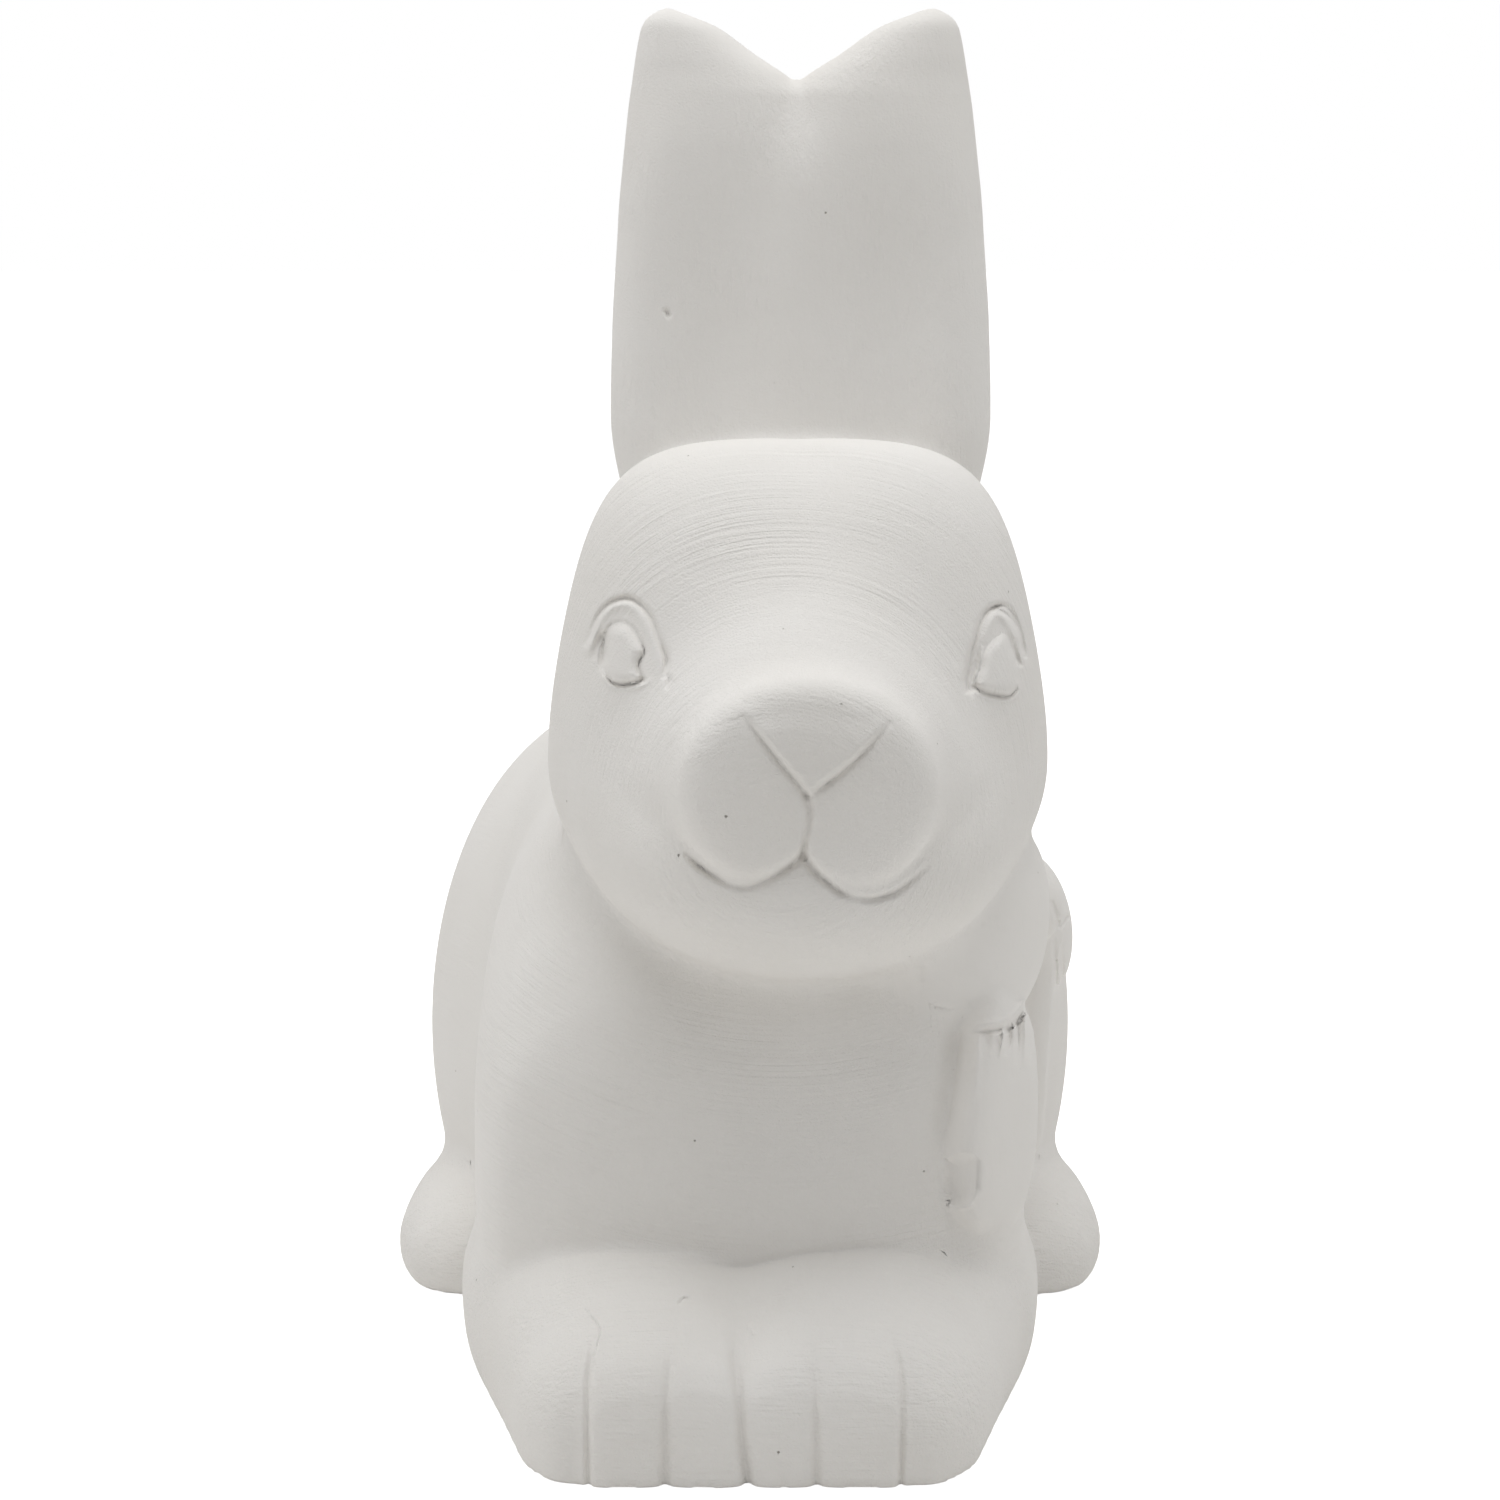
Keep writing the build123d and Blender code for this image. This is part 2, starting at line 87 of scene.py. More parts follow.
FIGURE_LOW, FIGURE_HIGH = np.array(cad_box[0]) / MM, np.array(cad_box[1]) / MM
TORSO_LOW, TORSO_HIGH = node_box("body_shell")
HEAD_LOW, HEAD_HIGH = node_box("head_shell")
RIGHT_EAR_LOW = node_box("right_ear")[0]
LEFT_EAR_HIGH = node_box("left_ear")[1]
RIGHT, LEFT = -1, 1

# Torso: place along it, half width, height of the back and squareness of each section
TORSO_LENGTH = TORSO_HIGH[1] - TORSO_LOW[1]
TORSO_HALF_WIDTH = 47.0
TORSO_HEIGHT = TORSO_HIGH[2]
TORSO_WAIST_Z = 34.0
TORSO_BLEND = 5.0
TORSO_END_ROUNDING = 9.0
TORSO_SHARES = [
    (0.000, 0.50, 0.46, 2.4), (0.014, 0.68, 0.56, 2.6), (0.050, 0.83, 0.645, 2.8),
    (0.110, 0.90, 0.73, 3.0), (0.190, 0.935, 0.81, 3.0), (0.300, 0.945, 0.88, 3.0),
    (0.430, 0.940, 0.93, 2.8), (0.580, 0.970, 0.975, 2.6), (0.720, 0.960, 1.000, 2.4),
    (0.850, 0.850, 0.910, 2.25), (0.935, 0.640, 0.765, 2.2), (0.980, 0.430, 0.625, 2.2),
    (1.000, 0.290, 0.530, 2.2),
]

# Head
HEAD_RADIUS = (HEAD_HIGH[0] - HEAD_LOW[0]) / 2
HEAD_X = (HEAD_HIGH[0] + HEAD_LOW[0]) / 2
HEAD_Y = HEAD_HIGH[1] - HEAD_RADIUS
CHEEK_Z = 98.0
HEAD_ABOVE_CHEEKS = 50.0
HEAD_BELOW_CHEEKS = 31.0
HEAD_SQUARENESS = 2.0
HEAD_CROWN_SQUARENESS = 1.5
HEAD_CROWN_LIMIT = 1.2
HEAD_BLEND = 5.0
MUZZLE_X = HEAD_X + 0.8
MUZZLE_Z = 101.3
MUZZLE_FRONT_Y = HEAD_LOW[1]
MUZZLE_LENGTH = 30.0
MUZZLE_HALF_WIDTH = 18.8
MUZZLE_HALF_HEIGHT = 17.0
MUZZLE_END_ROUNDING = 5.6
MUZZLE_SQUARENESS = 2.0
MUZZLE_LEAN = 0.13
MUZZLE_BLEND = 8.0
MUZZLE_SHARES = [
    (0.00, 0.90), (0.04, 0.94), (0.10, 0.975), (0.20, 1.01), (0.45, 1.08), (0.70, 1.17), (1.00, 1.20),
]
LIP_BLEND = 1.2
LIP_Z = (90.0, 102.0)
MOUTH_STEEPNESS = 0.8
MOUTH_ROUNDING = 2.5
MOUTH_LINE = [
    (-14.0, 96.0), (-11.0, 93.4), (-8.0, 91.1), (-5.2, 89.3), (-1.3, 87.9), (3.1, 89.3), (7.6, 92.9),
    (10.7, 89.1), (14.5, 86.8), (17.8, 86.2), (21.2, 86.7), (23.4, 88.4), (25.5, 90.4),
]
CHIN_CENTRE = (HEAD_X + 0.5, -57.0, 88.0)
CHIN_HALF = (29.0, 30.5, 19.0)
CHIN_BLEND = 12.0
BRIDGE_CENTRE = (HEAD_X + 1.3, -56.0, 110.0)
BRIDGE_HALF = (17.0, 23.0, 18.5)
BRIDGE_BLEND = 9.0

# Ears: height, outer edge, inner edge from the parting line, half depth and lean of each section
EAR_ROOT_Z = 112.0
EAR_TIP_Z = LEFT_EAR_HIGH[2]
EAR_SPREAD = {RIGHT: HEAD_X - RIGHT_EAR_LOW[0], LEFT: LEFT_EAR_HIGH[0] - HEAD_X}
EAR_HALF_DEPTH = 12.5
EAR_ROOT_Y = -10.0
EAR_LEAN = 9.0
EAR_BLEND = 4.0
EAR_SEAM_BLEND = (7.5, 2.5)
EAR_SEAM_Z = (186.0, 203.0)
EAR_SQUARENESS = 2.15
EAR_TIP_ROUNDING = 4.0
EAR_SHARES = [
    (0.000, 0.50, -0.16, 0.70, -0.90), (0.110, 0.74, -0.17, 0.86, -0.42),
    (0.220, 0.91, -0.18, 0.97, -0.10), (0.370, 1.00, -0.18, 1.00, 0.10),
    (0.510, 0.99, -0.18, 0.96, 0.28), (0.660, 0.96, -0.18, 0.88, 0.48),
    (0.780, 0.925, -0.13, 0.78, 0.66), (0.860, 0.895, -0.06, 0.67, 0.80),
    (0.890, 0.880, 0.04, 0.61, 0.85), (0.925, 0.862, 0.22, 0.54, 0.90),
    (0.965, 0.835, 0.41, 0.44, 0.96), (0.990, 0.805, 0.57, 0.36, 1.00),
    (1.000, 0.780, 0.61, 0.33, 1.00),
]
EAR_SCOOP_OFFSET = 14.0
EAR_SCOOP_CENTRE_YZ = (-27.5, 172.0)
EAR_SCOOP_HALF = (11.0, 12.0, 34.0)
EAR_SCOOP_BLEND = 10.0

# Forelegs: place from the toes back, outer edge and height of each section
LEG_SEAM_X = node_box("left_foreleg")[0][0]
LEG_SPREAD = 46.2
LEG_TOE_Y = FIGURE_LOW[1] + 0.1
LEG_LENGTH = 82.0
LEG_HEIGHT = 30.3
LEG_MERGE = 7.0
LEG_SQUARENESS = 2.35
LEG_BLEND = 2.0
LEG_SEAM_BLEND = (0.4, 5.5)
LEG_SEAM_Y = (-88.0, -72.0)
LEG_END_ROUNDING = 1.4
LEG_AXIS_SHARE = (0.25, 0.40)
LEG_SHARES = [
    (0.000, 0.500, 0.38), (0.012, 0.570, 0.49), (0.045, 0.660, 0.60), (0.110, 0.735, 0.69),
    (0.200, 0.780, 0.765), (0.320, 0.835, 0.855), (0.460, 0.905, 0.935), (0.640, 0.985, 0.985),
    (0.800, 1.010, 1.00), (0.920, 0.940, 0.88), (1.000, 0.800, 0.66),
]
LIMB_AXIS_SHARE = 0.35

# Haunches, hind feet and tail
HAUNCH_CENTRE = (24.0, 42.0, 38.0)
HAUNCH_HALF = (33.4, 41.0, 56.0)
HAUNCH_TILT = -14.0
HAUNCH_BLEND = 7.0
FOOT_HALF_WIDTH = 16.8
FOOT_CENTRE_X = FIGURE_HIGH[0] - FOOT_HALF_WIDTH
FOOT_FRONT_Y = -5.0
FOOT_LENGTH = 66.0
FOOT_HEIGHT = 19.0
FOOT_SQUARENESS = 2.3
FOOT_BLEND = 4.0
FOOT_END_ROUNDING = 4.0
FOOT_SHARES = [
    (0.00, 0.46, 0.34, 0.93), (0.03, 0.68, 0.50, 0.96), (0.10, 0.88, 0.70, 0.99),
    (0.24, 1.00, 0.88, 1.00), (0.45, 0.98, 1.00, 0.98), (0.65, 0.86, 0.98, 0.92),
    (0.84, 0.66, 0.84, 0.80), (1.00, 0.44, 0.62, 0.66),
]
TAIL_RADIUS = 15.0
TAIL_CENTRE = (0.0, FIGURE_HIGH[1] - TAIL_RADIUS, 34.0)
TAIL_BLEND = 3.0

# Neck ribbon and bow on the left shoulder
RIBBON_CENTRE = (8.0, -26.0, 83.0)
RIBBON_TILT = 25.0
RIBBON_ROLL = 6.0
RIBBON_RADIUS = 32.5
RIBBON_THICKNESS = 5.5
RIBBON_FRONT_Y = -30.0
KNOT_CENTRE = (44.5, -20.0, 71.0)
KNOT_HALF = (6.4, 6.2, 6.4)
BOW_BLEND = 1.6
FRONT_LOOP_SOFTNESS = 4.5
FRONT_LOOP_SOFT_X = (40.0, 29.0)
FRONT_LOOP_SOFT_Z = (80.0, 71.0)
BOW_END_ROUNDING = 4.0

# Loops and tails of the bow: x, y and z from the knot, half width across and half thickness
FRONT_LOOP = [
    (-1.5, -1.0, 0.0, 6.0, 4.5), (-3.0, -9.0, 2.0, 11.5, 6.0), (-5.3, -20.0, 2.5, 15.5, 7.5),
    (-10.5, -29.5, 1.0, 16.0, 8.0), (-18.0, -34.0, -0.5, 14.0, 6.5), (-24.0, -35.3, -1.0, 9.0, 3.0),
]
FRONT_LOOP_OUTWARD = (0.78, -0.62, 0.0)
REAR_LOOP = [
    (-1.0, 1.0, 0.0, 6.0, 4.5), (1.0, 8.0, -2.0, 10.0, 6.5), (2.3, 19.0, -7.0, 12.5, 7.0),
    (1.0, 30.0, -11.0, 12.0, 6.5), (-1.5, 36.0, -13.5, 8.5, 4.8),
]
REAR_LOOP_OUTWARD = (1.0, 0.1, 0.15)
FRONT_BOW_TAIL = [
    (-5.0, -29.5, -8.0, 6.5, 3.2), (-6.8, -34.0, -17.0, 9.0, 4.2), (-7.3, -35.0, -30.0, 10.5, 4.0),
    (-7.8, -35.8, -39.0, 9.0, 3.4), (-8.3, -36.0, -43.5, 5.5, 2.8),
]
FRONT_BOW_TAIL_OUTWARD = (0.82, -0.57, 0.0)
REAR_BOW_TAIL = [
    (1.0, 9.0, -3.0, 6.5, 4.6), (1.2, 13.0, -17.0, 8.2, 4.5), (1.2, 17.0, -30.0, 9.8, 4.3),
    (1.0, 21.0, -43.0, 11.0, 4.0),
]
REAR_BOW_TAIL_OUTWARD = (1.0, 0.0, 0.0)
BOW_TAIL_SQUARENESS = 3.2
PLEAT_DEPTH = 0.9
PLEAT_WIDTH = 0.75
PLEAT_FADE = 14.0
PLEAT_SHARES = [-0.72, -0.3, 0.12, 0.5, 0.82]

# Hollow inside and the drain hole under the torso
WALL = 5.0
HOLLOW_BLEND = 1.5
DRAIN_CENTRE = (0.0, 12.0)
DRAIN_RADIUS = 10.0
BASE_ROUNDING = 1.4

# Camera, as it stood for the photograph
PHOTO_SIZE = 1500
CAMERA_PLACE = (0.0, -595.0, 190.0)
CAMERA_PITCH = 9.2
CAMERA_LENS = 86.54
CAMERA_SENSOR = 36.0
FOCAL_PIXELS = CAMERA_LENS / CAMERA_SENSOR * PHOTO_SIZE


# Distance fields

def smooth_curve(stops, values, steps=1500):
    """A curve through the stops of a table that doesn't overshoot, as closely spaced samples."""
    x, y = np.array(stops, float), np.array(values, float)
    slope = np.diff(y) / np.diff(x)
    tangent = np.zeros_like(y)
    tangent[0], tangent[-1] = slope[0], slope[-1]
    pair = slope[:-1] * slope[1:]
    total = slope[:-1] + slope[1:]
    safe = np.where(np.abs(total) > TINY, total, 1.0)
    tangent[1:-1] = np.where(pair > 0, 2 * pair / safe, 0.0)
    at = np.linspace(x[0], x[-1], steps)
    i = np.clip(np.searchsorted(x, at, side="right") - 1, 0, len(x) - 2)
    gap = x[i + 1] - x[i]
    u = (at - x[i]) / gap
    rise = y[i] + (y[i + 1] - y[i]) * u * u * (3 - 2 * u)
    bend = u * (1 - u) * gap * ((1 - u) * tangent[i] - u * tangent[i + 1])
    return at, rise + bend


def read_curve(curve, at):
    return np.interp(at, curve[0], curve[1])


def smooth_union(a, b, reach):
    """The nearer of two distances, with a fillet where they are alike."""
    overlap = np.maximum(reach - np.abs(a - b), 0.0) / reach
    return np.minimum(a, b) - overlap * overlap * reach / 4


def smooth_both(a, b, reach):
    """Where two forms overlap, with a rounded rim."""
    return -smooth_union(-a, -b, reach)


def smooth_cut(a, b, reach):
    """What is left of the first form outside the second."""
    return -smooth_union(-a, b, reach)


def tipped(q, degrees):
    """Points turned about the axis across the figure."""
    c, s = np.cos(radians(degrees)), np.sin(radians(degrees))
    return np.stack([q[:, 0], c * q[:, 1] + s * q[:, 2], c * q[:, 2] - s * q[:, 1]], axis=1)


def ellipsoid(p, centre, half_sizes, tilt=0.0):
    q = p - np.array(centre)
    scaled = (tipped(q, tilt) if tilt else q) / np.array(half_sizes)
    near = np.sqrt((scaled ** 2).sum(1)) + TINY
    slope = np.sqrt(((scaled / np.array(half_sizes)) ** 2).sum(1)) + TINY / max(half_sizes)
    return near * (near - 1) / slope


def ramp(value, start, end):
    """Runs smoothly from nought at the start to one at the end."""
    part = np.clip((value - start) / (end - start), 0, 1)
    return part * part * (3 - 2 * part)


class Loft:
    """A form with rounded sections along an axis and flat ends with a rounded rim."""

    def __init__(self, stops, widths, heights, squareness, shift_width=0.0, shift_height=0.0, rounding=3.0):
        count = len(stops)
        widths, heights = np.array(widths, float), np.array(heights, float)
        self.width = smooth_curve(stops, widths)
        self.ratio = smooth_curve(stops, widths / heights)
        self.squareness, self.shift_width, self.shift_height = (
            smooth_curve(stops, np.broadcast_to(v, count)) for v in (squareness, shift_width, shift_height)
        )
        self.slope = (self.width[0], np.gradient(self.width[1], self.width[0]))
        self.rounding = rounding

    def distance(self, across, up, along):
        first, last = self.width[0][0], self.width[0][-1]
        n = read_curve(self.squareness, along)
        ratio = read_curve(self.ratio, along)
        x = np.abs(across - read_curve(self.shift_width, along)) + TINY
        y = ratio * np.abs(up - read_curve(self.shift_height, along)) + TINY
        size = (x ** n + y ** n) ** (1 / n)
        tilt = (x / size) ** (2 * n - 2) + (ratio * (y / size) ** (n - 1)) ** 2
        slope = np.minimum(np.abs(read_curve(self.slope, along)), STEEPEST)
        side = (size - read_curve(self.width, along)) / np.sqrt(tilt + slope ** 2)
        return smooth_both(side, np.maximum(first - along, along - last), self.rounding)

    def at(self, p, axes=(0, 2, 1)):
        return self.distance(*(p[:, axis] for axis in axes))


def smooth_path(rows, steps=12):
    """A curve through rows of numbers, as closely spaced rows."""
    rows = np.array(rows, float)
    ends = np.concatenate([2 * rows[:1] - rows[1:2], rows, 2 * rows[-1:] - rows[-2:-1]])
    t = np.linspace(0, 1, steps, endpoint=False)[:, None]
    parts = []
    for i in range(len(rows) - 1):
        a, b, c, d = ends[i:i + 4]
        bend, twist = a - 2.5 * b + 2 * c - d / 2, (d - a) / 2 + 1.5 * (b - c)
        parts.append(b + (c - a) * t / 2 + bend * t * t + twist * t ** 3)
    return np.concatenate(parts + [rows[-1:]])


class Strand:
    """A length of ribbon on a bent path, with an oval section of its own at each stop."""

    def __init__(self, rows, outward, squareness=2.0, rounding=BOW_END_ROUNDING):
        rows = np.array(rows, float) + np.array((*KNOT_CENTRE, 0, 0))
        self.place = smooth_path(rows[:, :3])
        steps = np.linalg.norm(np.diff(self.place, axis=0), axis=1)
        self.length = np.concatenate([[0], np.cumsum(steps)])
        along = np.gradient(self.place, self.length, axis=0)
        self.along = along / np.linalg.norm(along, axis=1, keepdims=True)
        outward = np.array(outward) - (self.along @ np.array(outward))[:, None] * self.along
        self.outward = outward / np.linalg.norm(outward, axis=1, keepdims=True)
        stops = np.interp(np.arange(len(rows)), np.linspace(0, len(rows) - 1, len(self.length)), self.length)
        self.form = Loft(stops, rows[:, 3], rows[:, 4], squareness, rounding=rounding)

    def local(self, p):
        """Distance along the path, across the ribbon and outward from its middle."""
        apart = ((p[:, None] - self.place[None]) ** 2).sum(2)
        i = apart.argmin(1)
        along = self.length[i] + ((p - self.place[i]) * self.along[i]).sum(1)
        at = np.clip(along, 0, self.length[-1])
        place, ahead, outward = (
            np.stack([np.interp(at, self.length, table[:, a]) for a in range(3)], axis=1)
            for table in (self.place, self.along, self.outward)
        )
        q = p - place
        along = at + (q * ahead).sum(1)
        return along, (q * np.cross(ahead, outward)).sum(1), (q * outward).sum(1)

    def distance(self, p):
        along, across, outward = self.local(p)
        return self.form.distance(across, outward, along)


def torso_loft(inset=0.0):
    rows = np.array(TORSO_SHARES)
    length = TORSO_LENGTH - 2 * inset
    widths = TORSO_HALF_WIDTH * rows[:, 1] - inset
    heights = TORSO_HEIGHT * rows[:, 2] - TORSO_WAIST_Z - inset
    stops = TORSO_LOW[1] + inset + length * rows[:, 0]
    return Loft(stops, widths, heights, rows[:, 3], 0.0, TORSO_WAIST_Z, TORSO_END_ROUNDING)


def skull(p):
    """The egg of the head, fuller at the cheeks than at the crown."""
    q = p - np.array((HEAD_X, HEAD_Y, CHEEK_Z))
    reach = np.where(q[:, 2] > 0, HEAD_ABOVE_CHEEKS, HEAD_BELOW_CHEEKS)
    across = np.hypot(q[:, 0], q[:, 1]) / HEAD_RADIUS + TINY
    up = np.abs(q[:, 2]) / reach + TINY
    sideways = q[:, 0] ** 2 / (q[:, 0] ** 2 + q[:, 1] ** 2 + TINY)
    crown = np.where(q[:, 2] > 0, np.minimum(up, HEAD_CROWN_LIMIT) ** 2, 0)
    n = HEAD_SQUARENESS + HEAD_CROWN_SQUARENESS * sideways * crown
    near = (across ** n + up ** n) ** (1 / n)
    slope = np.hypot((across / near) ** (n - 1) / HEAD_RADIUS, (up / near) ** (n - 1) / reach)
    return (near - 1) / slope


def muzzle_loft():
    along, width = np.array(MUZZLE_SHARES).T
    stops = MUZZLE_FRONT_Y + MUZZLE_LENGTH * along
    widths, heights = MUZZLE_HALF_WIDTH * width, MUZZLE_HALF_HEIGHT * width
    return Loft(stops, widths, heights, MUZZLE_SQUARENESS, MUZZLE_X, MUZZLE_Z, MUZZLE_END_ROUNDING)


MUZZLE = muzzle_loft()
MOUTH = np.array(MOUTH_LINE).T


def head(p):
    """Skull, bridge and chin, with the round muzzle set sharply on the chin and softly elsewhere."""
    form = smooth_union(skull(p), ellipsoid(p, CHIN_CENTRE, CHIN_HALF), CHIN_BLEND)
    form = smooth_union(form, ellipsoid(p, BRIDGE_CENTRE, BRIDGE_HALF), BRIDGE_BLEND)
    reach = LIP_BLEND + (MUZZLE_BLEND - LIP_BLEND) * ramp(p[:, 2], *LIP_Z)
    below_lip = MOUTH_STEEPNESS * (read_curve(MOUTH, p[:, 0]) - p[:, 2])
    along = p[:, 1] + MUZZLE_LEAN * (p[:, 2] - MUZZLE_Z)
    muzzle = smooth_both(MUZZLE.distance(p[:, 0], p[:, 2], along), below_lip, MOUTH_ROUNDING)
    return smooth_union(form, muzzle, reach)


def ear_loft(side):
    up, outer, inner, depth, lean = np.array(EAR_SHARES).T
    spread = EAR_SPREAD[side]
    return Loft(
        EAR_ROOT_Z + (EAR_TIP_Z - EAR_ROOT_Z) * up,
        spread * (outer - inner) / 2,
        EAR_HALF_DEPTH * depth,
        EAR_SQUARENESS,
        HEAD_X + side * spread * (outer + inner) / 2,
        EAR_ROOT_Y + EAR_LEAN * lean,
        EAR_TIP_ROUNDING,
    )


EARS = {side: ear_loft(side) for side in (RIGHT, LEFT)}


def ears(p):
    """Both ears, which are one slab up to the notch, each with a long hollow in front."""
    low, high = EAR_SEAM_BLEND
    one, other = (ear.at(p, (0, 1, 2)) for ear in EARS.values())
    form = smooth_union(one, other, low + (high - low) * ramp(p[:, 2], *EAR_SEAM_Z))
    for side in (RIGHT, LEFT):
        centre = (HEAD_X + side * EAR_SCOOP_OFFSET, *EAR_SCOOP_CENTRE_YZ)
        form = smooth_cut(form, ellipsoid(p, centre, EAR_SCOOP_HALF), EAR_SCOOP_BLEND)
    return form


def leg_loft(side):
    along, outer, height = np.array(LEG_SHARES).T
    inner_x = LEG_SEAM_X - side * LEG_MERGE
    outer_x = side * LEG_SPREAD * outer
    heights = LEG_HEIGHT * height
    axis = np.interp(along, (0, 1), LEG_AXIS_SHARE)
    return Loft(
        LEG_TOE_Y + LEG_LENGTH * along,
        np.abs(outer_x - inner_x) / 2,
        heights * (1 - axis),
        LEG_SQUARENESS,
        (outer_x + inner_x) / 2,
        heights * axis,
        LEG_END_ROUNDING,
    )


LEGS = {side: leg_loft(side) for side in (RIGHT, LEFT)}


def forelegs(p):
    """Both forelegs, with a close seam at the toes and a broad dip between them on top."""
    low, high = LEG_SEAM_BLEND
    one, other = (leg.at(p) for leg in LEGS.values())
    return smooth_union(one, other, low + (high - low) * ramp(p[:, 1], *LEG_SEAM_Y))


def haunch(p, side):
    centre = (side * HAUNCH_CENTRE[0], *HAUNCH_CENTRE[1:])
    return ellipsoid(p, centre, HAUNCH_HALF, HAUNCH_TILT)


def foot_loft(side):
    along, width, height, offset = np.array(FOOT_SHARES).T
    heights = FOOT_HEIGHT * height
    return Loft(
        FOOT_FRONT_Y + FOOT_LENGTH * along,
        FOOT_HALF_WIDTH * width,
        heights * (1 - LIMB_AXIS_SHARE),
        FOOT_SQUARENESS,
        side * FOOT_CENTRE_X * offset,
        heights * LIMB_AXIS_SHARE,
        FOOT_END_ROUNDING,
    )


FEET = {side: foot_loft(side) for side in (RIGHT, LEFT)}


def tail(p):
    return ellipsoid(p, TAIL_CENTRE, (TAIL_RADIUS,) * 3)


def ribbon(p):
    """A rolled band in the crease behind the neck, left off under the chin."""
    q = tipped(p - np.array(RIBBON_CENTRE), RIBBON_TILT)
    c, s = np.cos(radians(RIBBON_ROLL)), np.sin(radians(RIBBON_ROLL))
    q = np.stack([c * q[:, 0] - s * q[:, 2], q[:, 1], s * q[:, 0] + c * q[:, 2]], axis=1)
    ring = np.hypot(np.hypot(q[:, 0], q[:, 1]) - RIBBON_RADIUS, q[:, 2]) - RIBBON_THICKNESS
    return np.maximum(ring, RIBBON_FRONT_Y - p[:, 1])


def knot(p):
    return ellipsoid(p, KNOT_CENTRE, KNOT_HALF)


front_loop = Strand(FRONT_LOOP, FRONT_LOOP_OUTWARD)
rear_loop = Strand(REAR_LOOP, REAR_LOOP_OUTWARD)
front_bow_tail = Strand(FRONT_BOW_TAIL, FRONT_BOW_TAIL_OUTWARD, BOW_TAIL_SQUARENESS)
rear_bow_tail = Strand(REAR_BOW_TAIL, REAR_BOW_TAIL_OUTWARD, BOW_TAIL_SQUARENESS)


def front_loop_reach(p):
    """The front loop melts into the chest, but keeps a crease under the jaw and at its outer side."""
    soft = ramp(p[:, 0], *FRONT_LOOP_SOFT_X) * ramp(p[:, 2], *FRONT_LOOP_SOFT_Z)
    return BOW_BLEND + FRONT_LOOP_SOFTNESS * soft


def pleated(p, strand):
    """A gathered tail of the bow, whose pleats fade as it falls."""
    along, across, outward = strand.local(p)
    half = read_curve(strand.form.width, along)
    pleats = sum(np.exp(-((across - half * share) / PLEAT_WIDTH) ** 2) for share in PLEAT_SHARES)
    fade = np.exp(-np.maximum(along - BOW_END_ROUNDING, 0) / PLEAT_FADE) * (outward > 0)
    return strand.form.distance(across, outward, along) - PLEAT_DEPTH * pleats * fade


def hollow(p):
    """The space that the drained slip leaves in the torso and the head, and its way out below."""
    inner = np.maximum(HOLLOW_TORSO.at(p), WALL - p[:, 2])
    inner = smooth_union(inner, skull(p) + WALL, HOLLOW_BLEND)
    drain = np.hypot(p[:, 0] - DRAIN_CENTRE[0], p[:, 1] - DRAIN_CENTRE[1]) - DRAIN_RADIUS
    drain = np.maximum(drain, p[:, 2] - TORSO_WAIST_Z)
    return smooth_union(inner, drain, HOLLOW_BLEND)


HOLLOW_TORSO = torso_loft(WALL)

# Each form: the pieces it stands for, its field, the box that holds it and its fillet
FORMS = [
    (("head_shell",), head, HEAD_LOW, HEAD_HIGH, HEAD_BLEND),
    (("body_shell",), torso_loft().at, TORSO_LOW, TORSO_HIGH, TORSO_BLEND),
    (("right_ear", "left_ear"), ears, (-30, -30, 105), (45, 20, 217), EAR_BLEND),
    (("right_haunch",), lambda p: haunch(p, RIGHT), (-60, -2, -6), (12, 90, 98), HAUNCH_BLEND),
    (("left_haunch",), lambda p: haunch(p, LEFT), (-12, -2, -6), (60, 90, 98), HAUNCH_BLEND),
    (("bow_knot",), knot, (39, -29, 67), (55, -13, 85), BOW_BLEND),
    (("neck_ribbon",), ribbon, (-32, -32, 60), (48, 14, 108), BOW_BLEND),
    (("bow_front_loop",), front_loop.distance, (14, -68, 50), (56, -20, 92), front_loop_reach),
    (("bow_rear_loop",), rear_loop.distance, (34, -28, 44), (60, 28, 88), BOW_BLEND),
    (("bow_front_tail",), front_bow_tail.distance, (22, -72, 22), (58, -34, 76), BOW_BLEND),
    (("bow_rear_tail",), lambda p: pleated(p, rear_bow_tail), (36, -24, 18), (60, 22, 80), BOW_BLEND),
    (("right_foreleg", "left_foreleg"), forelegs, (-50, -97, -6), (50, -10, 33), LEG_BLEND),
    (("right_hind_foot",), FEET[RIGHT].at, (-64, -8, -6), (-20, 64, 22), FOOT_BLEND),
    (("left_hind_foot",), FEET[LEFT].at, (20, -8, -6), (64, 64, 22), FOOT_BLEND),
    (("tail",), tail, (-18, 60, 15), (18, 97, 52), TAIL_BLEND),
]
PIECES = [name for names, *_ in FORMS for name in names]
SPLIT_X = {"right_ear": HEAD_X, "right_foreleg": LEG_SEAM_X}
MARGIN = 12.0
SEAM_DEPTH = 1.5


def piece_number(names, p):
    """Which piece a point of a form belongs to, counted from one."""
    first = PIECES.index(names[0]) + 1
    if len(names) == 1:
        return np.full(len(p), first, np.uint8)
    return np.where(p[:, 0] < SPLIT_X[names[0]], first, first + 1).astype(np.uint8)


def near_box(p, low, high, margin=MARGIN):
    return np.all((p > np.array(low) - margin) & (p < np.array(high) + margin), axis=1)


def finish_skin(p, skin):
    """Adds the drawn detail, cuts the hollow and sets the figure on its flat, rounded base."""
    near = np.abs(skin) < RELIEF_REACH
    skin[near] += relief(p[near])
    skin = smooth_cut(skin, hollow(p), HOLLOW_BLEND)
    return -smooth_union(-skin, p[:, 2], BASE_ROUNDING)


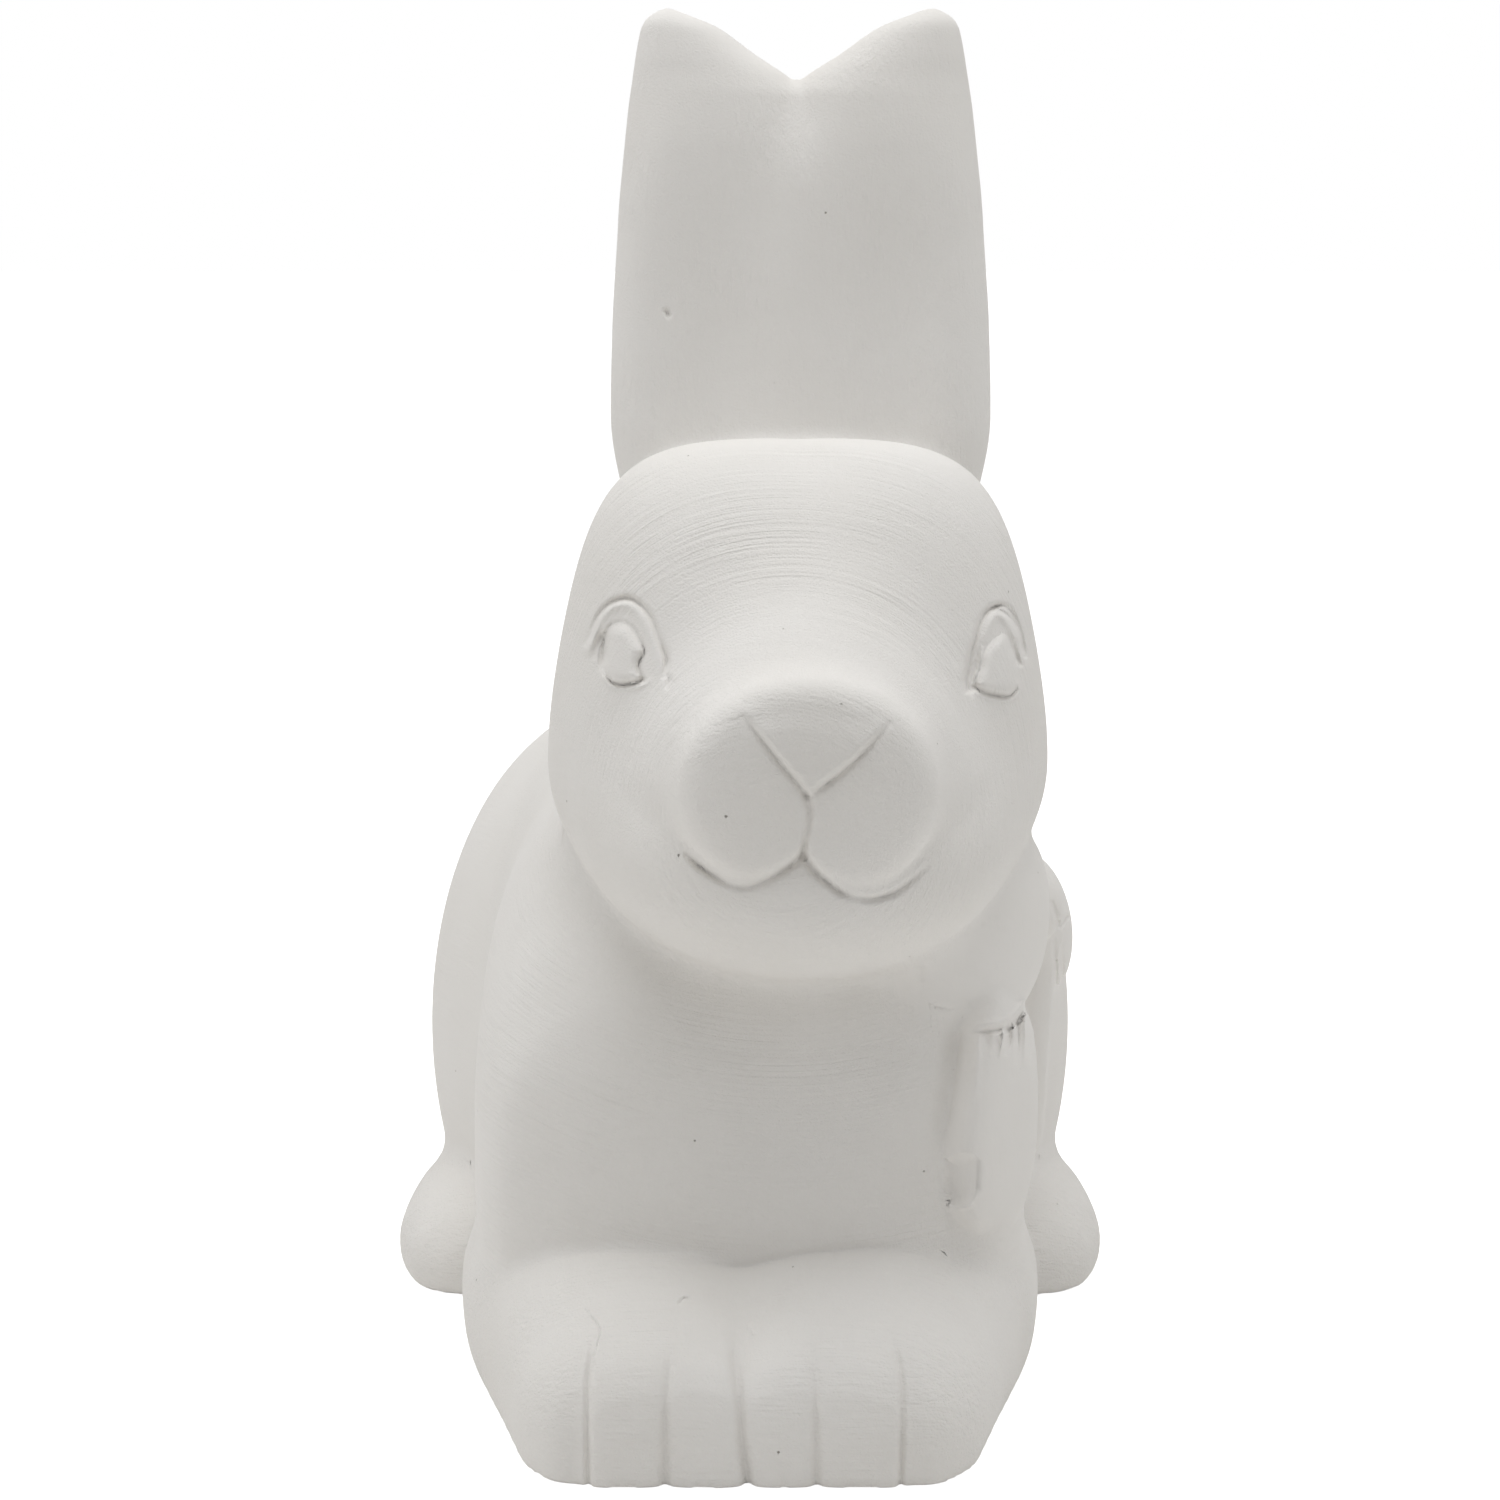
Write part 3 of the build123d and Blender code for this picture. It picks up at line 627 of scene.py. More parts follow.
def picture(p):
    """Where points fall in the photograph's frame, and how many pixels a millimetre takes there."""
    c, s = np.cos(radians(CAMERA_PITCH)), np.sin(radians(CAMERA_PITCH))
    q = p - np.array(CAMERA_PLACE)
    depth = q[:, 1] * c - q[:, 2] * s
    height = q[:, 1] * s + q[:, 2] * c
    scale = FOCAL_PIXELS / depth
    return PHOTO_SIZE / 2 + q[:, 0] * scale, PHOTO_SIZE / 2 - height * scale, scale


class Detail:
    """Something drawn on a line of the photograph's frame, on the skin inside a box of the figure."""

    def __init__(self, box, path):
        self.low, self.high = np.array(box)
        self.path = path

    def near(self, p, u, v, margin=0.0):
        """The points inside the box that lie within a margin of the line's outer corners."""
        low, high = self.path[:, :2].min(0) - margin, self.path[:, :2].max(0) + margin
        near = (u > low[0]) & (u < high[0]) & (v > low[1]) & (v < high[1])
        return near & np.all((p > self.low) & (p < self.high), axis=1)

    def runs(self, u, v):
        """Each run of the line: its ends, the points' places along it and their distances, squared."""
        for a, b in zip(self.path[:-1], self.path[1:]):
            run_u, run_v = b[:2] - a[:2]
            t = ((u - a[0]) * run_u + (v - a[1]) * run_v) / (run_u ** 2 + run_v ** 2 + TINY)
            t = np.clip(t, 0, 1)
            yield a, b, t, (u - a[0] - t * run_u) ** 2 + (v - a[1] - t * run_v) ** 2


class Stroke(Detail):
    """A groove (or a ridge, if the depth is below nought) along a line."""

    def __init__(self, box, width, depth, stops):
        super().__init__(box, smooth_path([(*stop, 1.0)[:3] for stop in stops], STROKE_STEPS))
        self.width, self.depth = width, depth

    def add(self, total, p, u, v, scale, spread=0.0):
        width = self.width + spread
        near = self.near(p, u, v, STROKE_REACH * width * PIXELS_PER_MM)
        if not near.any():
            return
        best, weight = np.full(near.sum(), FAR ** 2), np.zeros(near.sum())
        for a, b, t, apart in self.runs(u[near], v[near]):
            closer = apart < best
            best = np.where(closer, apart, best)
            weight = np.where(closer, a[2] + t * (b[2] - a[2]), weight)
        apart = np.sqrt(best) / scale[near]
        shape = np.exp(-(apart / width) ** 2)
        fade = np.clip((self.high[1] - p[near, 1]) / RELIEF_FADE, 0, 1)
        total[near] += (abs(self.depth) if spread else self.depth) * weight * shape * fade


class Patch(Detail):
    """A raised (or, if the rise is below nought, sunken) patch of the skin inside a closed line."""

    def __init__(self, box, rise, edge, stops, fade=None):
        super().__init__(box, smooth_path(stops + stops[:1], PATCH_STEPS))
        self.rise, self.edge, self.fade = rise, edge, fade

    def add(self, total, p, u, v, scale, spread=0.0):
        near = self.near(p, u, v)
        if not near.any():
            return
        u, v = u[near], v[near]
        best, inside = np.full(len(u), FAR ** 2), np.zeros(len(u), bool)
        for a, b, _, apart in self.runs(u, v):
            best = np.minimum(best, apart)
            run_u, run_v = b - a
            crosses = (a[1] > v) != (b[1] > v)
            inside ^= crosses & (u < a[0] + (v - a[1]) * run_u / (run_v if abs(run_v) > TINY else TINY))
        deep = np.clip(np.sqrt(best) / scale[near] / self.edge, 0, 1)
        shape = np.where(inside, 1 - (1 - deep) ** 2, 0)
        if self.fade:
            (from_u, from_v), (to_u, to_v) = self.fade
            along = (u - from_u) * (to_u - from_u) + (v - from_v) * (to_v - from_v)
            shape *= ramp(along, 0, (to_u - from_u) ** 2 + (to_v - from_v) ** 2)
        total[near] += abs(self.rise) * shape if spread else -self.rise * shape


FACE = ((-40.0, -100.0, 70.0), (60.0, -42.0, 150.0))
PAWS = ((-60.0, -110.0, -5.0), (60.0, -52.0, 32.0))
BOW = ((20.0, -70.0, 15.0), (70.0, -46.0, 95.0))
BOW_SIDE = ((44.0, -45.0, 25.0), (75.0, 20.0, 90.0))
CREASE = ((-60.0, -85.0, 22.0), (60.0, -50.0, 45.0))
EARS_FRONT = ((-40.0, -40.0, 130.0), (50.0, 0.0, 220.0))
PIXELS_PER_MM = 6.8
STROKE_REACH = 3.5
STROKE_STEPS = 6
PATCH_STEPS = 5
RELIEF_REACH = 3.0
RELIEF_FADE = 5.0

# Lines read off the photograph: width, depth, then each place in its pixels and the share of the
# depth there, which is one where none is given
FACE_LINES = [
    # Right eye: arch round the lid, its raised edge, gap beside the eyeball, rim under it
    (0.9, -0.35, [(633, 609, 0.6), (640, 616), (647, 628), (652, 642), (655, 656, 0.9), (656, 668, 0.4)]),
    (0.45, 0.95, [
        (586, 643, 0.2), (590, 637, 0.5), (594, 626, 0.7), (600, 614, 0.8), (608, 605, 0.9), (617, 600),
        (627, 598, 1.1), (636, 601), (644, 608, 0.8), (651, 617, 0.7), (656, 628, 0.6), (660, 640, 0.5),
        (664, 650, 0.8), (667, 660, 0.9), (666, 668, 0.6), (664, 677, 0.2),
    ]),
    (0.6, -0.55, [
        (588, 650, 0.8), (592, 640), (595, 631), (600, 620), (607, 611), (616, 606), (625, 605, 0.8),
        (632, 608, 0.3),
    ]),
    (0.7, 0.9, [
        (597, 655, 0.3), (600, 642, 0.7), (604, 636), (604, 646, 1.2), (603.5, 657, 1.2), (602.5, 667, 0.5),
    ]),
    (0.3, 0.45, [
        (606, 632), (612, 624, 0.9), (622, 621.5, 0.5), (632, 627, 0.5), (639, 637, 0.6), (644, 648, 0.9),
        (644, 655), (640, 661, 0.9), (639, 670, 0.7), (642, 678),
    ]),
    (0.4, 0.8, [
        (605, 670, 0.2), (608, 678, 0.6), (614, 683), (624, 685, 1.2), (634, 683), (643, 680, 0.8),
    ]),
    (0.35, -0.3, [(604, 678, 0.5), (609, 685), (618, 688), (630, 688), (641, 686, 0.8), (649, 681, 0.4)]),
    (0.36, 0.45, [(668, 676, 0.6), (669, 681), (667, 687, 0.5)]),
    # Left eye
    (0.42, 0.8, [
        (967, 690, 0.7), (965.5, 680, 1.1), (968, 668, 1.2), (971, 652, 1.1), (975, 640, 0.9),
        (978, 628, 0.8), (982, 618, 0.9), (988, 610, 1.2), (994, 607, 1.5), (1001, 605, 0.9),
        (1007, 607, 0.6), (1012, 613, 0.7), (1017, 623, 0.7), (1021, 635, 0.8), (1023, 647, 0.9),
        (1025, 656, 0.4),
    ]),
    (0.8, 0.8, [(978, 645, 0.3), (976, 655, 0.8), (974, 668), (971, 680), (970, 688, 0.8)]),
    (0.24, -0.3, [(982, 648, 0.4), (981, 657), (979, 667), (975, 677), (973, 684, 0.7)]),
    (0.24, 0.35, [(1000, 611, 0.8), (1006, 614), (1012, 620), (1016, 627, 0.6)]),
    (0.45, 0.6, [(1009, 635, 0.3), (1012, 643, 0.8), (1014.5, 650), (1017, 658, 1.2), (1019.5, 664, 0.8)]),
    (0.6, -0.45, [(986, 640, 0.4), (990, 625), (996, 616), (1003, 618), (1009, 626), (1015, 637, 0.8)]),
    (0.45, 0.7, [
        (975, 687, 0.6), (982, 692, 0.8), (992, 695), (1002, 696.5), (1010, 696, 0.9), (1016, 690, 0.5),
    ]),
    (0.35, -0.3, [
        (976, 692, 0.7), (986, 697), (999, 700), (1011, 699, 0.9), (1018, 693, 0.6), (1018, 682, 0.5),
    ]),
    # Nose, groove down the lip and mouth
    (0.55, 0.75, [
        (744, 717, 0.2), (759, 736, 0.8), (772, 752), (786, 769, 1.1), (800, 785, 1.2), (806, 795, 1.1),
    ]),
    (0.5, 0.65, [
        (889, 724, 0.2), (876, 739, 0.8), (865, 751), (845, 770, 1.1), (828, 783, 1.1), (817, 791, 0.5),
    ]),
    (0.55, 0.85, [(806, 794, 0.7), (810, 810), (809, 826, 0.9), (805, 843, 0.9), (803, 855, 0.5)]),
    (0.5, 0.95, [
        (803, 855, 0.35), (791, 866, 0.9), (772, 878, 0.8), (750, 887, 0.7), (732, 885, 0.6),
        (714, 876, 1.2), (699, 866, 1.4), (687, 855, 0.6),
    ]),
    (0.5, 0.95, [
        (803, 855, 0.35), (812, 869), (825, 881, 1.1), (838, 891, 1.3), (851, 896, 0.5), (866, 899, 0.8),
        (881, 897), (897, 891, 0.9), (912, 880, 0.7), (927, 866, 0.3),
    ]),
]
PAW_LINES = [
    # Toes, the outer ones falling away towards their line
    (0.5, 1.0, [(593, 1338, 0.1), (590, 1365, 0.6), (588, 1390), (588, 1440), (589, 1505)]),
    (2.3, 1.1, [(583, 1350, 0.0), (579, 1385, 0.6), (577, 1420), (577, 1505)]),
    (2.2, 0.6, [(671, 1360, 0.0), (667, 1400, 0.8), (665, 1505)]),
    (2.4, 0.8, [(735, 1350, 0.0), (740, 1400, 0.8), (748, 1505)]),
    (2.2, 0.5, [(812, 1360, 0.0), (816, 1400, 0.8), (817, 1505)]),
    (0.75, 0.95, [(671, 1352, 0.2), (668, 1380, 0.7), (665, 1420, 0.9), (665, 1505)]),
    (0.8, 1.3, [
        (733, 1342, 0.1), (736, 1375, 0.7), (740, 1410), (742, 1440), (746, 1470, 1.1), (750, 1505, 1.2),
    ]),
    (0.75, 0.9, [(812, 1350, 0.2), (815, 1380, 0.7), (816, 1420, 0.9), (817, 1505)]),
    (0.5, 1.0, [(893, 1340, 0.1), (899, 1365, 0.6), (902, 1390), (902, 1430), (900, 1505)]),
    (2.3, 1.0, [(903, 1350, 0.0), (910, 1385, 0.6), (913, 1420), (912, 1505)]),
    # Hairline crack and chips on the right paw
    (0.16, 0.22, [(585, 1310, 0.5), (594, 1320), (600, 1333), (596, 1352), (593, 1372, 0.6)]),
    (0.3, 0.4, [(680, 1303, 0.6), (684, 1299), (689, 1299, 0.6)]),
    (0.45, -0.25, [(752, 1327), (754, 1333)]),
]
CREASE_LINES = [
    # Crease between the paws and the chest
    (0.7, 0.55, [
        (640, 1258, 0.1), (690, 1264, 0.5), (735, 1268, 0.7), (775, 1260, 0.8), (820, 1252), (870, 1248),
        (905, 1251, 0.2),
    ]),
]
EAR_LINES = [
    # Pinhole in the right ear
    (0.4, 0.7, [(666, 311), (668, 315)]),
]
BOW_LINES = [
    # Bow: lip of the front loop
    (0.45, 0.6, [
        (970, 1030, 0.2), (978, 1032, 0.8), (988, 1031), (1000, 1030), (1013, 1026), (1023, 1015),
        (1032, 1004, 0.9), (1039, 989, 0.8), (1043, 968, 0.4),
    ]),
    (0.45, -0.4, [
        (976, 1025, 0.4), (989, 1023), (1001, 1021), (1012, 1016), (1021, 1006), (1029, 995, 0.9),
        (1035, 980, 0.5),
    ]),
    # Channel beside the front tail and the edge of the tail
    (2.1, 1.6, [
        (954, 1030, 0.4), (955, 1045, 0.9), (954, 1065), (950, 1088), (946, 1108, 0.9), (942, 1126, 0.8),
        (940, 1146, 0.3),
    ]),
    (0.7, -0.35, [(979, 1040, 0.6), (977, 1058), (976, 1080, 0.9), (972, 1104, 0.4)]),
    (0.8, 0.9, [(986, 1034), (986, 1042, 0.9), (984, 1052, 0.3)]),
    # Gathers under the lip
    (0.3, -0.7, [(1003, 1030), (1002, 1042, 0.9), (1000, 1056, 0.3)]),
    (0.45, 0.7, [(1009, 1027), (1009, 1038), (1007, 1054, 0.3)]),
    (0.35, 0.6, [(1018, 1022), (1018, 1040, 0.8), (1017, 1062, 0.2)]),
    (0.32, -0.5, [(1025, 1012), (1025, 1035, 0.9), (1024, 1066, 0.2)]),
    (0.35, 0.5, [(1030, 1006), (1031, 1030, 0.9), (1030, 1062, 0.2)]),
    (0.32, -0.4, [(1037, 990, 0.9), (1037, 1020, 0.9), (1036, 1066, 0.2)]),
    (0.4, -0.35, [(1043, 962, 0.5), (1044, 1010), (1043, 1080, 0.9), (1043, 1150, 0.6)]),
    (0.5, 0.6, [(1048, 985, 0.4), (1048, 1020), (1048, 1080, 0.9), (1047, 1135, 0.3)]),
    # Foot of the front tail
    (0.4, -0.4, [(952, 1208, 0.6), (962, 1208), (972, 1205, 0.6)]),
    # Nicks where the loop meets the chest
    (0.32, 0.3, [(930, 1003, 0.4), (937, 1006), (944, 1008, 0.8), (953, 1008, 0.3)]),
    (0.32, 0.25, [(929, 939, 0.3), (936, 935), (944, 934, 0.4)]),
]
BOW_SIDE_LINES = [
    # Rear loop: notch and pleats
    (0.4, 0.45, [(1052, 903, 0.6), (1056, 915), (1060, 926), (1066, 917, 0.8)]),
    (0.4, 0.6, [(1054, 940, 0.3), (1056, 975), (1056, 1030), (1053, 1090, 0.5)]),
    (0.4, 0.5, [(1061, 945, 0.3), (1062, 980), (1060, 1040, 0.8), (1057, 1100, 0.4)]),
]
STROKES = [
    Stroke(box, *line)
    for box, lines in (
        (FACE, FACE_LINES), (PAWS, PAW_LINES), (CREASE, CREASE_LINES), (EARS_FRONT, EAR_LINES),
        (BOW, BOW_LINES), (BOW_SIDE, BOW_SIDE_LINES),
    )
    for line in lines
]
PATCHES = [
    # Eyeballs
    Patch(FACE, 0.95, 1.9, [
        (608, 634), (612, 628), (620, 624), (628, 626), (634, 633), (640, 642), (644, 650), (641, 658),
        (639, 667), (643, 679), (634, 683), (622, 685), (612, 682), (606, 673), (606, 655),
    ]),
    Patch(FACE, 0.9, 1.8, [
        (1003, 633), (1008, 637), (1012, 648), (1015, 660), (1017, 673), (1017, 686), (1010, 695),
        (998, 696), (984, 692), (976, 686), (977, 677), (981, 665), (984, 652), (992, 640),
    ]),
    # Flat of the nose
    Patch(FACE, 1.0, 1.2, [
        (746, 719), (730, 698), (734, 668), (780, 645), (815, 640), (856, 645), (902, 670), (904, 702),
        (887, 726), (868, 748), (845, 769), (820, 788), (808, 796), (796, 783), (772, 753),
    ], ((812, 710), (808, 758))),
    # Hollow beside the hanging tail of the bow
    Patch(BOW, -1.5, 2.6, [
        (945, 1158), (962, 1152), (977, 1157), (979, 1175), (975, 1196), (964, 1206), (950, 1203),
        (944, 1185),
    ]),
]


def relief(p, spread=0.0):
    """What the drawn detail takes off the skin, in millimetres. With a spread, how much is near."""
    total = np.zeros(len(p))
    u, v, scale = picture(p)
    for detail in STROKES + PATCHES:
        detail.add(total, p, u, v, scale, spread)
    return total


def figure(p):
    """Distance to the finished skin: negative in the clay, positive outside."""
    skin = np.full(len(p), FAR)
    for names, field, low, high, blend in FORMS:
        near = near_box(p, low, high)
        if near.any():
            reach = blend(p[near]) if callable(blend) else blend
            skin[near] = smooth_union(skin[near], field(p[near]), reach)
    return finish_skin(p, skin)


# From the field to a mesh

def grid_axes():
    low, high = FIGURE_LOW - 4 * GRAIN, FIGURE_HIGH + 4 * GRAIN
    return [np.arange(l, h + GRAIN, GRAIN) for l, h in zip(low, high)]


def grid_points(axes, spans):
    parts = [axis[span] for axis, span in zip(axes, spans)]
    return np.stack([c.ravel() for c in np.meshgrid(*parts, indexing="ij")], axis=1)


def fill_grid(axes):
    """The field and the number of the owning piece at every grid point, nought outside."""
    shape = tuple(len(axis) for axis in axes)
    skin = np.full(shape, FAR)
    nearest = np.full(shape, FAR)
    owner = np.zeros(shape, np.uint8)
    for names, field, low, high, blend in FORMS:
        spans = tuple(
            slice(*np.searchsorted(axis, (l - MARGIN, h + MARGIN))) for axis, l, h in zip(axes, low, high)
        )
        p = grid_points(axes, spans)
        d = field(p).reshape(skin[spans].shape)
        number = piece_number(names, p).reshape(d.shape)
        reach = blend(p).reshape(d.shape) if callable(blend) else blend
        skin[spans] = smooth_union(skin[spans], d, reach)
        depth = np.maximum(d, -SEAM_DEPTH)
        takes = depth < nearest[spans]
        owner[spans] = np.where(takes, number, owner[spans])
        nearest[spans] = np.minimum(nearest[spans], depth)
    close = skin < 2 * WALL
    spans = (slice(None),) * 3
    p = grid_points(axes, spans)[close.ravel()]
    skin[close] = finish_skin(p, skin[close])
    owner[skin >= 0] = 0
    return skin, owner


CORNERS = [(i, j, k) for i in (0, 1) for j in (0, 1) for k in (0, 1)]


def skin_mesh(axes, skin, owner):
    """One vertex in each grid cell that a boundary crosses, and quads between the cells."""
    corners = [owner[tuple(slice(c, c + n - 1) for c, n in zip(corner, owner.shape))] for corner in CORNERS]
    mixed = np.any([corner != corners[0] for corner in corners], axis=0)
    cells = np.argwhere(mixed)
    number = np.full(mixed.shape, -1, np.int64)
    number[mixed] = np.arange(len(cells))
    total, count = np.zeros((2, len(cells), 3)), np.zeros((2, len(cells), 1))
    for axis in range(3):
        for corner in CORNERS:
            if corner[axis]:
                continue
            a = cells + corner
            b = a.copy()
            b[:, axis] += 1
            owner_a, owner_b = owner[tuple(a.T)], owner[tuple(b.T)]
            skin_a, skin_b = skin[tuple(a.T)], skin[tuple(b.T)]
            differ = owner_a != owner_b
            outer = differ & ((owner_a == 0) | (owner_b == 0))
            part = np.where(outer, skin_a / np.where(outer, skin_a - skin_b, 1.0), 0.5)
            place = a.astype(float)
            place[:, axis] += np.clip(part, 0, 1)
            for kind, picked in enumerate((outer, differ & ~outer)):
                total[kind, picked] += place[picked]
                count[kind, picked] += 1
    on_skin = count[0, :, 0] > 0
    middle = np.where(on_skin[:, None], total[0], total[1]) / np.where(count[0] > 0, count[0], count[1])
    verts = np.array([axis[0] for axis in axes]) + middle * GRAIN
    quads, owners = [], []
    for axis in range(3):
        b, c = (axis + 1) % 3, (axis + 2) % 3
        near, far = [slice(None)] * 3, [slice(None)] * 3
        near[axis], far[axis] = slice(0, -1), slice(1, None)
        spots = np.argwhere(owner[tuple(near)] != owner[tuple(far)])
        ring = []
        for step_b, step_c in ((-1, -1), (0, -1), (0, 0), (-1, 0)):
            cell = spots.copy()
            cell[:, b] += step_b
            cell[:, c] += step_c
            ring.append(number[tuple(cell.T)])
        ahead = spots.copy()
        ahead[:, axis] += 1
        quads.append(np.stack(ring, axis=1))
        owners.append(np.stack([owner[tuple(spots.T)], owner[tuple(ahead.T)]], axis=1))
    return verts, np.concatenate(quads), np.concatenate(owners), on_skin


def triangles(quads, owners, verts):
    """Each quad cut along its shorter diagonal."""
    a, b, c, d = (verts[quads[:, i]] for i in range(4))
    short = np.linalg.norm(a - c, axis=1) <= np.linalg.norm(b - d, axis=1)
    one = np.where(short[:, None], quads[:, [0, 1, 2]], quads[:, [0, 1, 3]])
    two = np.where(short[:, None], quads[:, [0, 2, 3]], quads[:, [1, 2, 3]])
    return np.concatenate([one, two]), np.concatenate([owners, owners])


def gradient(p, step=PROBE):
    sides = [(figure(p + move) - figure(p - move)) / (2 * step) for move in step * np.eye(3)]
    return np.stack(sides, axis=1)


def settle(verts, chosen, rounds=PROJECT_ROUNDS):
    """Draws the chosen vertices onto the skin."""
    p = verts[chosen]
    for _ in range(rounds):
        slope = gradient(p)
        steep = np.maximum((slope ** 2).sum(1), LEAST_SLOPE)
        move = -figure(p)[:, None] * slope / steep[:, None]
        length = np.linalg.norm(move, axis=1, keepdims=True)
        p = p + move * np.minimum(1.0, GRAIN / np.maximum(length, TINY))
    verts[chosen] = p
    return verts


def fine_edges(middle, length):
    """Edges near the drawn detail that are too long to follow it, taken more widely while all are coarse."""
    wide, narrow = DETAIL_SPREADS
    spread = wide if length.max(initial=0) > COARSE_EDGE else narrow
    return (length > LONG_EDGE) & (relief(middle, spread) > LEAST_DETAIL)


def refine(verts, tris, owners, on_skin):
    """Splits the long edges where the detail is fine, alike on both sides of a seam."""
    sides = np.stack([tris, np.roll(tris, -1, axis=1)], axis=2)
    low, high = sides.min(2), sides.max(2)
    keys, back = np.unique(low * len(verts) + high, return_inverse=True)
    back = back.reshape(tris.shape)
    ends = np.stack([keys // len(verts), keys % len(verts)], axis=1)
    middle = verts[ends].mean(1)
    length = np.linalg.norm(verts[ends[:, 0]] - verts[ends[:, 1]], axis=1)
    split = on_skin[ends].all(1) & fine_edges(middle, length)
    fresh = np.full(len(keys), -1, np.int64)
    fresh[split] = len(verts) + np.arange(split.sum())
    new_verts = np.concatenate([verts, middle[split]])
    new_skin = np.concatenate([on_skin, np.ones(split.sum(), bool)])
    marks = split[back]
    made, made_owners = [tris[~marks.any(1)]], [owners[~marks.any(1)]]
    for first in range(3):
        a, b, c = (tris[:, (first + i) % 3] for i in range(3))
        ab, bc, ca = (fresh[back[:, (first + i) % 3]] for i in range(3))
        m_ab, m_bc, m_ca = (marks[:, (first + i) % 3] for i in range(3))
        one = m_ab & ~m_bc & ~m_ca
        two = m_ab & m_bc & ~m_ca
        for pick, corners in (
            (one, (a, ab, c)), (one, (ab, b, c)),
            (two, (a, ab, c)), (two, (ab, b, bc)), (two, (ab, bc, c)),
        ):
            made.append(np.stack([corner[pick] for corner in corners], axis=1))
            made_owners.append(owners[pick])
    every = marks.all(1)
    a, b, c = tris[every].T
    ab, bc, ca = fresh[back[every]].T
    for corners in ((a, ab, ca), (ab, b, bc), (ca, bc, c), (ab, bc, ca)):
        made.append(np.stack(corners, axis=1))
        made_owners.append(owners[every])
    return new_verts, np.concatenate(made), np.concatenate(made_owners), new_skin, split.sum()


def build_skin():
    axes = grid_axes()
    skin, owner = fill_grid(axes)
    verts, quads, owners, on_skin = skin_mesh(axes, skin, owner)
    tris, owners = triangles(quads, owners, verts)
    verts = settle(verts, on_skin)
    for _ in range(REFINE_ROUNDS):
        known = len(verts)
        verts, tris, owners, on_skin, added = refine(verts, tris, owners, on_skin)
        verts = settle(verts, np.arange(known, len(verts)), REFINE_SETTLES)
        if not added:
            break
    normals = np.zeros_like(verts)
    slope = gradient(verts[on_skin])
    normals[on_skin] = slope / np.maximum(np.linalg.norm(slope, axis=1, keepdims=True), TINY)
    return verts, tris, owners, normals


def add_object(name, data):
    thing = bpy.data.objects.new(name, data)
    bpy.context.scene.collection.objects.link(thing)
    return thing


def make_piece(name, verts, tris, owners, normals):
    number = PIECES.index(name) + 1
    faces = np.concatenate([tris[owners[:, 0] == number], tris[owners[:, 1] == number][:, ::-1]])
    used, faces = np.unique(faces, return_inverse=True)
    faces = faces.reshape(-1, 3)
    mesh = bpy.data.meshes.new(name + "_skin")
    mesh.from_pydata((verts[used] * MM).tolist(), [], faces.tolist())
    mesh.polygons.foreach_set("use_smooth", np.ones(len(faces), bool))
    mesh.normals_split_custom_set_from_vertices(normals[used].tolist())
    return add_object(name + "_skin", mesh)


# Materials

def linear(code):
    """A colour written as a hex code, as the shader wants it."""
    levels = [int(code[i:i + 2], 16) / 255 for i in (1, 3, 5)]
    turned = [v / 12.92 if v <= 0.04045 else ((v + 0.055) / 1.055) ** 2.4 for v in levels]
    return (*turned, 1.0)


def add_node(tree, kind, inputs=(), **settings):
    """Adds a shader node. Each input is (socket, value) or (socket, other node, its output)."""
    node = tree.nodes.new("ShaderNode" + kind)
    for key, value in settings.items():
        if key in node.inputs:
            node.inputs[key].default_value = value
        else:
            setattr(node, key, value)
    for socket, value, *output in inputs:
        if output:
            tree.links.new(value.outputs[output[0]], node.inputs[socket])
        else:
            node.inputs[socket].default_value = value
    return node


def new_material(name):
    material = bpy.data.materials.new(name)
    material.use_nodes = True
    material.node_tree.nodes.clear()
    return material, material.node_tree


# Brush strokes, with the radius at which a round stroke has its length, grit, pinholes and mottle, in mm
STROKE_SPACING = 0.75
STROKE_LENGTH = 9.0
STROKE_RADIUS = 40.0
STROKE_PATCHES = 16.0
GRIT = 0.35
PORE_SPACING = 7.0
PORE_RADIUS = 0.17
MOTTLE = 28.0
RELIEF_DEPTH = 0.45

# How far the brushed patches come and go, and the ends of a pinhole's rim in shares of its radius
PATCHINESS = (0.35, 0.65, 0.2, 1.0)
PORE_EDGE = (0.6, 1.4)

# Share of the relief that grit and a pinhole take, and of the places for a pinhole that have none
GRIT_SHARE = 0.35
PORE_SHARE = 0.8
PORELESS = 0.4

# Darker and lighter clay, the painted shade in a pinhole and the lack of gloss
CLAY_DARK = "#EAE7E2"
CLAY_LIGHT = "#F3F1EE"
PORE_PAINTED_SHADE = "#A8A39B"
CLAY_SPECULAR = 0.3
CLAY_ROUGHNESS = (0.84, 0.96)


def per_metre(millimetres):
    """The scale that makes a pattern repeat about every so many millimetres."""
    return 1 / (millimetres * MM)


def round_strokes(tree, place, centre):
    """A place that changes fast away from a centre and slowly round it, as a brush moves."""
    middle = [c * MM for c in centre]
    away = add_node(tree, "VectorMath", [(0, place, "Object"), (1, middle)], operation="SUBTRACT")
    far = add_node(tree, "VectorMath", [(0, away, "Vector")], operation="LENGTH")
    turn = add_node(tree, "VectorMath", [(0, away, "Vector")], operation="NORMALIZE")
    turns = STROKE_RADIUS / STROKE_LENGTH
    turn = add_node(tree, "VectorMath", [(0, turn, "Vector")], operation="SCALE", Scale=turns)
    spacing = per_metre(STROKE_SPACING)
    across = add_node(tree, "Math", [(0, far, "Value"), (1, spacing)], operation="MULTIPLY")
    shift = add_node(tree, "CombineXYZ", [("X", across, "Value")])
    return add_node(tree, "VectorMath", [(0, turn, "Vector"), (1, shift, "Vector")], operation="ADD")


